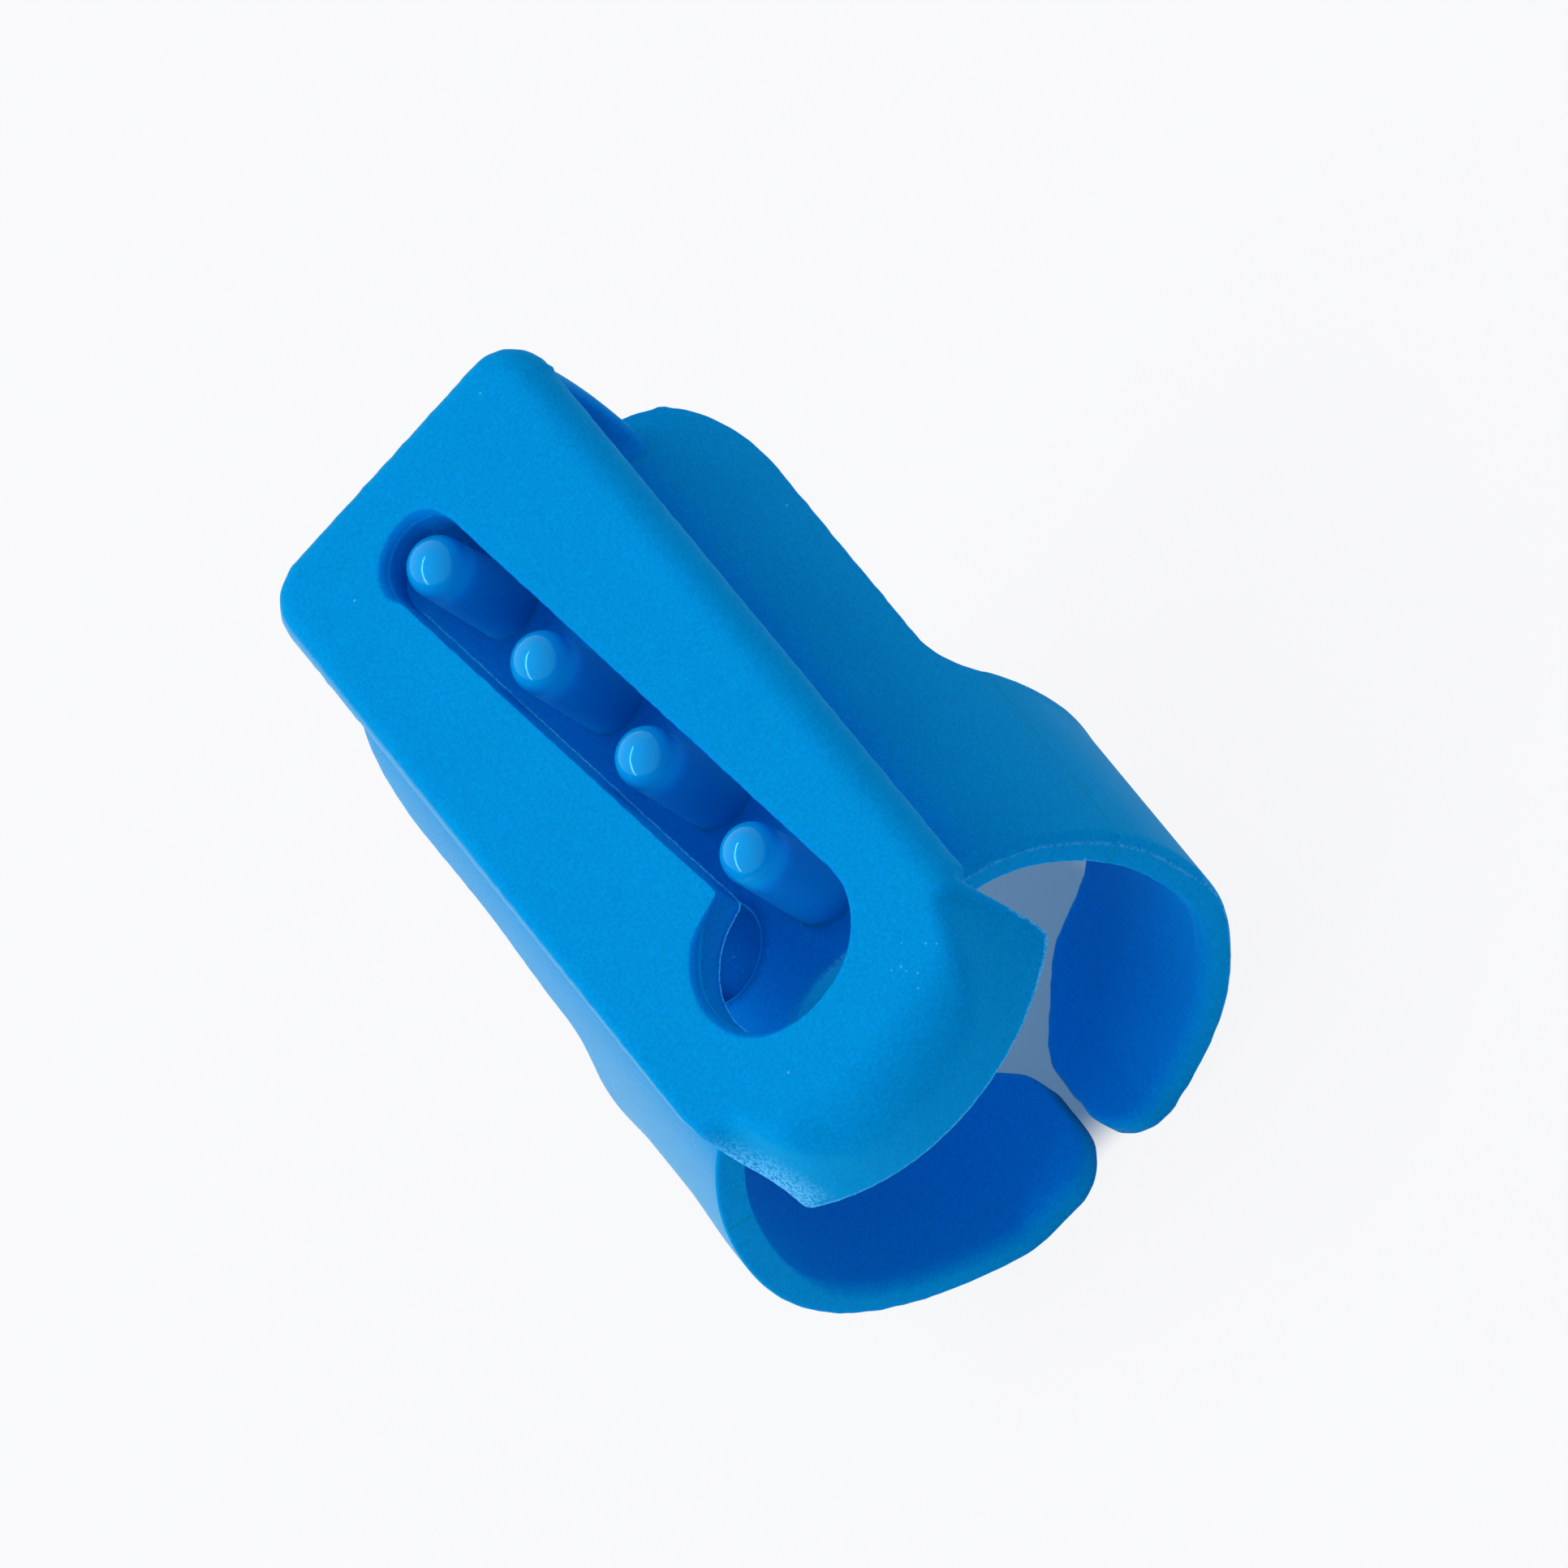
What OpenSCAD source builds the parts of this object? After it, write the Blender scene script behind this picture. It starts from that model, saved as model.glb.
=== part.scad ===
// Finger-worn yarn guide: a split ring and saddle for the finger, a row of pegs that keep
// yarns apart, and a slotted lid on a living hinge that closes over the pegs.
// Millimetres. X is across the finger, Y runs along the finger towards the hinge, Z is up.

/* [Finger ring] */
// Inner diameter of the ring
finger_d = 19.0; // [16:0.1:23]
// Wall thickness of ring and saddle
wall = 1.2; // [0.8:0.05:2]
// Wall thickness at the flat underside, where the tongues thin out
sole_t = 0.5; // [0.3:0.05:0.7]
// Width of the ring band at its sides
band_w = 9.8; // [6:0.1:14]
// Width of the ring band at the bottom
tongue_w = 8.3; // [5:0.1:12]
// Gap between the two tongues
tongue_gap = 0.45; // [0.2:0.05:3]
// Sideways place of the gap
gap_x = 0.65; // [-2:0.05:2]
// Radius of the tongue corners
tongue_r = 2.6; // [0.5:0.1:4]
// Slit that stands for the flexing web at an arm root
flex_slit = 0.16; // [0.1:0.02:0.4]

/* [Saddle] */
// Length of the saddle along the finger
saddle_len = 25.8; // [18:0.1:34]
// Angle from the top down to the lower edge of a flank
flank_angle = 59.4; // [45:0.2:75]
// Radius of the far lower corners of the flanks
flank_r = 3.2; // [0.5:0.1:5]
// Radius of the notch where a flank meets the ring band
notch_r = 1.9; // [0.5:0.1:3]
// Radius of the round dimple in the saddle top
dimple_r = 1.85; // [1:0.05:2.5]
// Sideways place of the dimple
dimple_x = -2.8; // [-5:0.1:5]
// Place of the dimple from the near rim
dimple_y = 4.0; // [2:0.1:8]
// Depth of the dimple below the saddle top
dimple_depth = 1.05; // [0.6:0.05:1.1]

/* [Pegs] */
// Peg diameter at the dome
peg_d = 2.35; // [1.5:0.05:3]
// Extra radius at the foot of a peg
peg_draft = 0.08; // [0:0.01:0.2]
// Peg spacing along the finger
pitch_y = 6.46; // [5:0.02:8]
// Sideways step from one peg to the next
pitch_x = 0.74; // [0:0.02:1.5]
// Sideways place of the first peg, next to the hinge
peg_x = -1.16; // [-2:0.02:2]
// Place of the first peg from the near rim
peg_y = 21.73; // [18:0.02:24]
// Depth of a dome centre below the lid top
dome_drop = 0.96; // [0.5:0.02:2]

/* [Lid] */
// Lid width
lid_w = 13.66; // [10:0.02:18]
// Lid thickness
lid_t = 1.55; // [1:0.05:2.5]
// Height of the lid top above the ring axis
lid_h = 16.02; // [15:0.02:18]
// Far end of the lid, from the near rim
lid_far = 26.6; // [24:0.1:30]
// Radius of the far lid corners
lid_r = 1.8; // [0.5:0.1:3]
// Sideways cant of lid and pegs on the saddle, in degrees
cant = 4.5; // [0:0.1:6]
// Width of the peg slot
slot_w = 3.45; // [3:0.05:5]
// Radius of the round yarn exit at the near end of the slot
exit_r = 3.39; // [2:0.01:4]
// Sideways place of the yarn exit
exit_x = -0.14; // [-1:0.02:1]
// Place of the yarn exit, from the near rim
exit_y = -1.88; // [-4:0.02:2]

/* [Nose] */
// Plan radius of the turned-down nose lip
nose_r = 10.0; // [8:0.1:13]
// Radius of the bend from the lid top into the lip
bend_r = 1.8; // [1.6:0.05:3]
// Height of the lip below the lid top
nose_drop = 4.5; // [2.5:0.1:5]
// Where the nose joins the flat lid plate
nose_y = -5.8; // [-7:0.1:-5.4]

/* [Hinge strap] */
// Width of the strap
strap_w = 13.2; // [8:0.1:14]
// Thickness of the strap
strap_t = 0.9; // [0.4:0.05:1.4]
// Depth of the fold line below the lid top
fold_drop = 3.1; // [2.4:0.1:3.6]
// Slit that stands for the thin web at the fold
fold_slit = 0.16; // [0.1:0.02:0.4]

/* [Shown part] */
// Sub-part to show

/* [Hidden] */
$fn = 96;
BLUE = [0.01, 0.45, 0.80];
GLOSS = [0.02, 0.50, 0.84];
inner_r = finger_d / 2;
outer_r = inner_r + wall;
axis_h = inner_r + sole_t;
flank_z = axis_h + outer_r * cos(flank_angle);
lid_top = axis_h + lid_h;
slot_turn = atan2(pitch_x, pitch_y);
slot_len = (peg_y - exit_y) / cos(slot_turn);
exit_depth = nose_r + 5;
// Half of the whole length, so that the frame sits under the middle of the bounding box
mid_y = (lid_far - nose_r) / 2;
big = 60;

module centred() {
    translate([0, -mid_y, 0]) children();
}

// Puts flat drawings of X and Z along the finger from y0 over a length
module along_finger(y0, length) {
    translate([0, y0 + length, 0]) rotate([90, 0, 0]) linear_extrude(length) children();
}

// Puts flat drawings of Y and Z right across the object
module across() {
    translate([-big / 2, 0, 0]) rotate([90, 0, 90]) linear_extrude(big) children();
}

// Puts children written against the lid top into place, with the lid's cant
module on_lid() {
    translate([0, 0, lid_top]) rotate([0, -cant, 0]) children();
}

// Quarter square with a round bite: what a corner rounding takes away
module corner_waste(r) {
    difference() {
        translate([-1, -1]) square([r + 1, r + 1]);
        translate([r, r]) circle(r);
    }
}

// Round wall, cut flat underneath
module ring_section() {
    translate([0, axis_h]) difference() {
        intersection() {
            circle(outer_r);
            translate([-big / 2, -axis_h]) square([big, big]);
        }
        circle(inner_r);
    }
}

module shell() {
    along_finger(0, saddle_len) ring_section();
}

// Side view of the saddle
module saddle_side() {
    difference() {
        translate([0, flank_z]) square([saddle_len, big]);
        translate([saddle_len, flank_z]) mirror([1, 0]) corner_waste(flank_r);
    }
}

// Side view of the ring band, with the notch curve up to the flank
module band_side() {
    polygon([[0, -1], [tongue_w, -1], [tongue_w, 2 * wall], [band_w, flank_z - notch_r],
             [band_w, flank_z - flex_slit], [0, flank_z - flex_slit]]);
    intersection() {
        translate([band_w, flank_z - notch_r]) difference() {
            square(notch_r);
            translate([notch_r, 0]) circle(notch_r);
        }
        translate([0, flank_z - big - flex_slit]) square([big, big]);
    }
}

// Plan of the right tongue, from the gap outwards
module tongue_plan(gap_edge) {
    translate([gap_edge, 0]) difference() {
        translate([0, -1]) square([big, big]);
        corner_waste(tongue_r);
        translate([0, tongue_w]) mirror([0, 1]) difference() {
            corner_waste(tongue_r);
            translate([-2, -big - 0.001]) square([big, big - 1]);
        }
    }
}

module arm(gap_edge) {
    intersection() {
        shell();
        across() band_side();
        translate([0, 0, -1]) linear_extrude(big) tongue_plan(gap_edge);
    }
}

module saddle() color(BLUE) centred() difference() {
    intersection() {
        shell();
        across() saddle_side();
    }
    translate([dimple_x, dimple_y, axis_h + outer_r - dimple_depth]) cylinder(r = dimple_r, h = big);
}

module arm_right() color(BLUE) centred() arm(gap_x + tongue_gap / 2);

module arm_left() color(BLUE) centred() mirror([1, 0, 0]) arm(tongue_gap / 2 - gap_x);

// A domed peg that stands on the saddle
module peg(i) {
    centred() difference() {
        on_lid() translate([peg_x + i * pitch_x, peg_y - i * pitch_y, -dome_drop]) {
            sphere(d = peg_d);
            translate([0, 0, -lid_h / 2]) cylinder(r1 = peg_d / 2 + peg_draft, r2 = peg_d / 2, h = lid_h / 2);
        }
        translate([0, big / 2, axis_h]) rotate([90, 0, 0]) cylinder(r = outer_r, h = big);
    }
}

module peg_1() color(GLOSS) peg(0);
module peg_2() color(GLOSS) peg(1);
module peg_3() color(GLOSS) peg(2);
module peg_4() color(GLOSS) peg(3);

// Lower leaf of the living hinge, standing on the far rim of the saddle
module strap_lower() color(BLUE) centred() along_finger(saddle_len - strap_t, strap_t) difference() {
    translate([0, lid_top]) rotate(cant) translate([-strap_w / 2, -lid_h * 0.65])
        square([strap_w, lid_h * 0.65 - fold_drop - fold_slit / 2]);
    translate([0, axis_h]) circle(outer_r);
}

// Upper leaf of the living hinge, under the far end of the lid
module strap_upper() color(BLUE) centred() on_lid()
    translate([-strap_w / 2, saddle_len - strap_t, fold_slit / 2 - fold_drop])
        cube([strap_w, strap_t, fold_drop - lid_t - fold_slit / 2]);

// Lid plate outline with rounded far corners
module lid_outline() {
    difference() {
        translate([-lid_w / 2, nose_y]) square([lid_w, lid_far - nose_y]);
        for (side = [0, 1]) mirror([side, 0]) translate([lid_w / 2, lid_far])
            mirror([1, 0]) mirror([0, 1]) corner_waste(lid_r);
    }
}

// Slanted peg slot that opens into the round yarn exit
module lid_slot() {
    translate([peg_x, peg_y]) {
        circle(d = slot_w);
        rotate(slot_turn) translate([-slot_w / 2, -slot_len]) square([slot_w, slot_len]);
    }
    translate([exit_x, exit_y]) circle(exit_r);
}

module lid() color(BLUE) centred() on_lid() translate([0, 0, -lid_t]) linear_extrude(lid_t) difference() {
    lid_outline();
    lid_slot();
}

// Half section of the nose: plate, bend and lip
module nose_section() {
    translate([0, -lid_t]) square([nose_r - bend_r, lid_t]);
    translate([nose_r - bend_r, -bend_r]) intersection() {
        difference() {
            circle(bend_r);
            circle(bend_r - lid_t);
        }
        square(bend_r);
    }
    translate([nose_r - lid_t, -nose_drop]) square([lid_t, nose_drop - bend_r]);
}

module nose() color(BLUE) centred() on_lid() intersection() {
    rotate_extrude() nose_section();
    translate([-lid_w / 2, nose_y - big, -big / 2]) cube([lid_w, big, big]);
}

saddle();
arm_right();
arm_left();
peg_1();
peg_2();
peg_3();
peg_4();
strap_lower();
strap_upper();
lid();
nose();
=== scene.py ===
import math
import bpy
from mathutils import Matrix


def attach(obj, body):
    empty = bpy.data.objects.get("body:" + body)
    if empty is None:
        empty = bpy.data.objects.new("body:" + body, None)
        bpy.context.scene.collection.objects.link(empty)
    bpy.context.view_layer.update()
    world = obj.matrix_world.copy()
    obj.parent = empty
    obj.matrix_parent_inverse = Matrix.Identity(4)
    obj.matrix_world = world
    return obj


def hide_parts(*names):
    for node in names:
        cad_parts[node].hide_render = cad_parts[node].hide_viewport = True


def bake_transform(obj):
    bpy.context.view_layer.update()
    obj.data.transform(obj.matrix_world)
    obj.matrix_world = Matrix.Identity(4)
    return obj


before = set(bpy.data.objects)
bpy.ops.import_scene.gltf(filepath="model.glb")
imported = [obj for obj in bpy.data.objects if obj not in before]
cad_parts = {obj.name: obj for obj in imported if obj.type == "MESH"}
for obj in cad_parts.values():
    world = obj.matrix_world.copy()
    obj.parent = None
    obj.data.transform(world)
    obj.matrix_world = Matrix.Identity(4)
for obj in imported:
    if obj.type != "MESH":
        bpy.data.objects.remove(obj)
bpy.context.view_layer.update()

from types import SimpleNamespace

import bmesh
import bpy
import numpy as np
from bpy.props import FloatProperty, FloatVectorProperty, PointerProperty
from mathutils import Matrix, Vector, noise
from mathutils.geometry import delaunay_2d_cdt

bl_info = {
    "name": "Yarn guide",
    "version": (1, 0, 0),
    "blender": (4, 5, 0),
    "location": "View3D > Sidebar > Yarn guide",
    "description": "Soft-edged moulded pieces of a finger-worn yarn guide, with its stage",
    "category": "Add Mesh",
}

MM = 0.001

# Meshes: steps over a rounding, spacing of points in mm, and what counts as sharp, flat or square
ROUND_STEPS = 7
STEP = 0.3
SEAM_STEP = 0.7
FINE_STEP = 0.1
LID_STEP = 0.24
EDGE_ROOM = 0.6
MERGE = 1e-7
TINY = 1e-9
WELD = 1e-4 * MM
SHARP_ANGLE = math.radians(38)
FLAT_ANGLE = math.radians(12)
SQUARE_ANGLE = math.radians(50)

# Painted light of a point: above zero painted highlights and sheen, and polish on the pegs' domes; below
# zero painted shade, darker the lower the value
SHELTER_SHADE = -1.0
SLOT_WALL = -1.5
PEG_SHAFT = -1.6
PIT_SHADE = -2.0
PIT_RIM_HIGHLIGHT = 0.2
RIM_HIGHLIGHT = 0.4
LIP_HIGHLIGHT = 0.9
FIN_HIGHLIGHT = 1.6
NOSE_SHEEN = 1.5

# Roundings, in mm: those below the first count as crisp edges and get their painted highlight along their
# whole width
CRISP = 0.3
THIN_EDGE = 0.1
LID_FOOT = 0.22


# Settings

def length(name, description, size):
    """A length property, given in millimetres."""
    return FloatProperty(name=name, description=description, default=size * MM, unit="LENGTH",
                         precision=5)


def angle(name, description, degrees):
    """An angle property, given in degrees."""
    return FloatProperty(name=name, description=description, default=math.radians(degrees),
                         unit="ROTATION")


def colour(name, description, rgb):
    """A linear colour property."""
    return FloatVectorProperty(name=name, description=description, default=rgb, size=3,
                               subtype="COLOR", min=0, max=1)


def factor(name, description, value):
    """A plain number between nothing and one."""
    return FloatProperty(name=name, description=description, default=value, min=0, max=1,
                         subtype="FACTOR")


class RingSizes(bpy.types.PropertyGroup):
    """Saddle and ring arms."""
    outer_r: length("Outer radius", "Outside of the saddle and ring", 10.7)
    wall: length("Wall", "Thickness of saddle and ring", 1.2)
    axis_h: length("Axis height", "Ring axis above the floor", 10.0)
    sole_in: length("Inner flat", "Flat inside of the tongues below the ring axis", 8.79)
    near_y: length("Near rim", "Place of the near rim", -8.3)
    saddle_len: length("Saddle length", "Along the finger", 25.8)
    flank: angle("Flank", "From the top down to the lower edge of a flank", 60.2)
    flank_in: length("Left flank", "How much higher the left flank's far half ends", 0.2)
    root: angle("Arm root", "From the top down to the line where an arm starts", 70.6)
    notch_r: length("Notch", "Curve between a flank and the ring band", 1.9)
    band_w: length("Band width", "Width of the right arm at its root", 9.8)
    band_w_left: length("Left band width", "Width of the left arm at its root", 9.3)
    tongue_w: length("Tongue width", "Width of an arm at its tip", 8.3)
    far_corner: length("Far corner", "Where the tongues' slanted far corners start on the gap", 4.9)
    far_reach: length("Corner reach", "How far along a tongue the slanted corner goes", 3.0)
    near_r_right: length("Right near corner", "Radius of the right tongue's near corner", 1.9)
    near_r_left: length("Left near corner", "Radius of the left tongue's near corner", 2.3)
    gap: length("Tongue gap", "Between the two tongues", 0.62)
    gap_x: length("Gap place", "Sideways place of the gap", 0.6)
    edge_out: length("Outer edge", "Rounding of the outer edges", 0.13)
    rim_out: length("Rim edge", "Rounding of the near rim's outer edge on the right", 0.45)
    edge_in: length("Inner edge", "Rounding of the inner edges", 0.3)
    tongue_in: length("Tongue edge", "Rounding inside the tongues' near edges", 0.6)
    dimple_r: length("Dimple", "Radius of the round dimple", 1.85)
    dimple_x: length("Dimple across", "Sideways place of the dimple", -2.8)
    dimple_y: length("Dimple along", "Place of the dimple from the near rim", 4.0)
    dimple_depth: length("Dimple depth", "Below the saddle top", 0.95)


class LidSizes(bpy.types.PropertyGroup):
    """Lid plate with its slot and turned-down nose."""
    right: length("Right half", "From the middle to the right edge", 6.6)
    left: length("Left half", "From the middle to the left edge", 7.0)
    thick: length("Thickness", "Of the plate", 1.55)
    top: length("Top", "Lid top above the floor", 26.02)
    far: length("Far end", "From the near rim", 26.53)
    corner_right: length("Right corner", "Radius of the far right corner", 1.85)
    corner_left: length("Left corner", "Radius of the far left corner", 2.1)
    cant: angle("Cant", "Sideways lean of lid and pegs", 4.5)
    slot_w: length("Slot width", "Width of the peg slot", 3.45)
    exit_r: length("Exit radius", "Round yarn exit", 3.33)
    exit_x: length("Exit across", "Sideways place of the exit", -0.17)
    exit_y: length("Exit along", "Place of the exit from the near rim", -1.75)
    nose_r: length("Nose radius", "Plan radius of the lip", 10.05)
    tip_right: length("Right nose tip", "From the middle to the nose's lower right corner", 6.87)
    tip_left: length("Left nose tip", "From the middle to the nose's lower left corner", 6.57)
    late_fold: length("Late fold", "How much later the nose rolls over at its right side", 1.05)
    start_mid: length("Middle start", "Where the nose starts to roll over at its middle", 7.6)
    start_ridge: length("Ridge start", "Where it starts between the middle and the sides", 8.6)
    start_side: length("Side start", "Where it starts at the sides", 7.45)
    bend_mid: length("Middle bend", "Roll-over radius at the middle of the nose", 2.45)
    bend_side: length("Side bend", "Roll-over radius at the sides of the nose", 0.7)
    nose_drop: length("Nose drop", "Lip below the lid top", 4.5)
    edge_far: length("Far edge", "Rounding of the far top edge", 1.0)
    edge_left: length("Left edge", "Rounding of the left top edge at its far end", 1.0)
    edge_near: length("Left near edge", "Rounding of the left top edge next to the nose", 0.4)
    edge_right: length("Right edge", "Rounding of the right top edge", 1.28)
    lip_r: length("Lip edge", "Rounding of the nose's lower edge", 0.28)
    slot_soft: length("Soft slot edge", "Rounding of the slot's ends", 0.42)
    slot_crisp: length("Crisp slot edge", "Rounding of the slot's sides", 0.06)
    slot_fin: length("Slot fin", "Thin flash along the slot's lower left edge", 0.09)
    # How far in the painted sheen on the left of the nose reaches
    sheen_reach: length("Cast reach", "How far the pale cast on the left side of the nose goes in", 2.3)


class PegSizes(bpy.types.PropertyGroup):
    """Row of domed pegs."""
    radius: length("Radius", "At the dome", 1.175)
    draft: length("Draft", "Extra radius at the foot", 0.08)
    first_x: length("First across", "Sideways place of the peg next to the hinge", -1.16)
    first_y: length("First along", "Place of that peg from the near rim", 21.73)
    pitch_x: length("Step across", "From one peg to the next", 0.74)
    pitch_y: length("Step along", "From one peg to the next", 6.46)
    dome_drop: length("Dome", "Dome centre below the lid top", 0.96)
    foot_r: length("Foot", "Fillet at the saddle", 0.12)
    # Depth below the dome over which painted shade on a peg's shaft and fillet grows to full
    shelter: length("Shelter", "How far below its dome a peg keeps the deeper colour", 0.9)


class StrapSizes(bpy.types.PropertyGroup):
    """Living hinge at the far end."""
    right: length("Right half", "From the middle to the right edge", 6.6)
    left: length("Left half", "From the middle to the left edge under the lid", 6.7)
    left_foot: length("Left foot", "How much further out the left edge stands on the saddle", 1.1)
    thick: length("Thickness", "Of the strap", 0.9)
    inset: length("Inset", "Outer face behind the saddle's far rim", 0.85)
    bow: length("Bow", "How far the strap swells outwards", 0.73)
    fillet: length("Fillet", "Where the strap meets saddle and lid", 0.5)
    fold_drop: length("Fold", "Fold line below the lid top", 3.1)
    fold_reach: length("Fold reach", "How far the bend spreads either side of the fold line", 0.5)


class Finish(bpy.types.PropertyGroup):
    """Colours and surface of the plastic."""
    body: colour("Body", "Matte moulded plastic", (0.0004, 0.318, 0.735))
    # deep is painted shade: a darker, bluer body colour for sheltered places under the lid, inside the
    # ring and on lower faces
    deep: colour("Deep", "Plastic in sheltered places, which no light has faded", (0.0003, 0.26, 0.78))
    # pit is painted shade, darker still, in the dimple and low on the peg shafts
    pit: colour("Pit", "Plastic in the dimple and low on the pegs", (0.0002, 0.16, 0.56))
    # The pale colour of real specks and scuffs, also used for painted highlights along edges and painted
    # sheen on the nose
    scuffs_highlights_and_sheen: colour("Worn edge", "Paler plastic along edges and scuffs", (0.12, 0.52, 0.90))
    # Painted sheen on faces that lean towards the lamp on the left
    side_sheen: colour("Bloom", "Pale cast of the grain on the side that light has faded", (0.34, 0.52, 0.68))
    # The pegs' blue is the body's blue made lighter: painted light that brightens the pegs
    peg: colour("Peg", "Polished plastic of the pegs", (0.0004, 0.345, 0.81))
    floor: colour("Floor", "Pale studio floor", (0.955, 0.955, 0.96))
    # Floor shade is a painted shadow: a darker floor colour inside the ring
    shade: colour("Floor shade", "Floor inside the ring, tinted by the plastic", (0.36, 0.52, 0.65))
    # Painted shadow: the dark colour the floor inside the ring shows as emission
    painted_shadow: colour("Shade glow", "Light that the floor inside the ring gives back", (0.10, 0.205, 0.36))
    roughness: factor("Roughness", "Of the matte plastic", 0.5)
    gloss: factor("Peg roughness", "Of the polished pegs", 0.09)


class StageSizes(bpy.types.PropertyGroup):
    """Camera and floor."""
    azimuth: angle("Azimuth", "Camera turn about the upright", 11.242)
    elevation: angle("Elevation", "Camera height angle", 51.613)
    roll: angle("Roll", "Camera turn about its own line of sight", -53.69)
    distance: length("Distance", "Camera to the aim point", 2000)
    span: length("Span", "Width of the picture at the aim point", 56.16)
    aim: FloatVectorProperty(name="Aim", description="Point at the middle of the picture", size=3,
                             default=(2.394 * MM, 1.452 * MM, 17.208 * MM), subtype="XYZ", unit="LENGTH")
    floor_size: length("Floor", "Side of the square floor", 6000)


class GuideSettings(bpy.types.PropertyGroup):
    """All settings of the yarn guide."""
    ring: PointerProperty(type=RingSizes)
    lid: PointerProperty(type=LidSizes)
    pegs: PointerProperty(type=PegSizes)
    strap: PointerProperty(type=StrapSizes)
    finish: PointerProperty(type=Finish)
    stage: PointerProperty(type=StageSizes)


ANGLE_NAMES = ("flank", "root", "cant")


def sizes(group):
    """A group's lengths in millimetres and its angles in radians."""
    values = {}
    for key in group.__annotations__:
        value = getattr(group, key)
        values[key] = value if key in ANGLE_NAMES else value / MM
    return SimpleNamespace(**values)


# Outlines

def arc(centre, radii, start, end, count):
    """Points on an ellipse arc from start up to, but without, end."""
    turn = np.radians(np.linspace(start, end, count, endpoint=False))
    return np.array(centre) + np.stack([radii[0] * np.cos(turn), radii[1] * np.sin(turn)], 1)


def line(start, end, step):
    """Points on a line from start up to, but without, end."""
    start, end = np.array(start, float), np.array(end, float)
    count = max(1, round(np.linalg.norm(end - start) / step))
    return start + np.linspace(0, 1, count, endpoint=False)[:, None] * (end - start)


def lengths(points):
    """Length of an open path up to each of its points."""
    return np.concatenate([[0], np.cumsum(np.linalg.norm(np.diff(points, axis=0), axis=1))])


def nearest(points, others):
    """Distance of each point to the nearest of the others."""
    return np.array([np.min(np.linalg.norm(others - point, axis=1)) for point in points])


def bearing(points, centre):
    """Turn of each point about a centre, in degrees from the right."""
    return np.degrees(np.arctan2(*(points - centre).T[::-1])) % 360


def even(points, step):
    """The same open path with even spacing, without its last point."""
    run = lengths(points)
    count = max(2, round(run[-1] / step))
    at = np.linspace(0, run[-1], count, endpoint=False)
    return np.stack([np.interp(at, run, points[:, axis]) for axis in (0, 1)], 1)


def eased(points, corner, reach, count=9):
    """An open path whose corner point is replaced by a curve that starts and ends at the reach from it."""
    run = lengths(points)
    near = np.argmin(np.linalg.norm(points - corner, axis=1))
    ends = [np.array([np.interp(run[near] + side * reach, run, points[:, axis]) for axis in (0, 1)])
            for side in (-1, 1)]
    t = np.linspace(0, 1, count)[:, None]
    curve = (1 - t) ** 2 * ends[0] + 2 * t * (1 - t) * np.array(corner) + t ** 2 * ends[1]
    return np.concatenate([points[run < run[near] - reach], curve, points[run > run[near] + reach]])


def round_profile(thick, top_r, foot_r):
    """Steps from the top face to the lower face over a rounded edge: inset and depth."""
    turn = np.linspace(0, math.pi / 2, ROUND_STEPS + 1)
    inset = np.concatenate([top_r * (1 - np.sin(turn)), foot_r * (1 - np.cos(turn))])
    depth = np.concatenate([top_r * (1 - np.cos(turn)), thick - foot_r + foot_r * np.sin(turn)])
    return inset, depth


def seam_profile(thick):
    """Steps straight down a face that butts against a neighbour."""
    count = 2 * (ROUND_STEPS + 1)
    return np.zeros(count), np.linspace(0, thick, count)


def spread(value, count):
    """One value for all points of a path, or a start and an end value shared out along it."""
    start, end = value if isinstance(value, tuple) else (value, value)
    return np.linspace(start, end, count, endpoint=False)


def stretch(points, top, foot, painted=(0.0, 0.0), butts=False):
    """A piece of an outline: its points, edge roundings above and below, and the painted highlights along
    them.
    """
    count = len(points)
    return SimpleNamespace(points=points, top=spread(top, count), foot=spread(foot, count),
                           highlight_top=spread(painted[0], count), highlight_foot=spread(painted[1], count),
                           butts=np.full(count, butts))


def edge_loop(*stretches):
    """Joins stretches into a closed outline with the material on its left."""
    keys = ("points", "top", "foot", "highlight_top", "highlight_foot", "butts")
    joined = {key: np.concatenate([getattr(part, key) for part in stretches]) for key in keys}
    loop = SimpleNamespace(**joined)
    run = np.roll(loop.points, -1, axis=0) - loop.points
    run /= np.linalg.norm(run, axis=1)[:, None]
    side = np.stack([-run[:, 1], run[:, 0]], 1)
    loop.step = np.zeros(loop.points.shape)
    for i in range(len(run)):
        if loop.butts[i] and not loop.butts[i - 1]:
            loop.step[i] = run[i]
        elif loop.butts[i - 1] and not loop.butts[i]:
            loop.step[i] = -run[i - 1]
        elif not loop.butts[i]:
            loop.step[i] = (side[i] + side[i - 1]) / (1 + side[i] @ side[i - 1])
    loop.flat = loop.butts & np.roll(loop.butts, 1)
    loop.bridges = []
    loop.sheltered = False
    loop.fin = np.zeros(len(loop.points))
    loop.cast = np.zeros(len(loop.points))
    return loop


def roughened(loop, reach, pitch, seed):
    """Pushes an outline's rounded points in and out a little, as a moulded edge is."""
    for i in np.flatnonzero(~loop.flat):
        x, y = loop.points[i]
        loop.points[i] += loop.step[i] * reach * noise.noise(Vector((x / pitch, y / pitch, seed)))
    return loop


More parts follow.
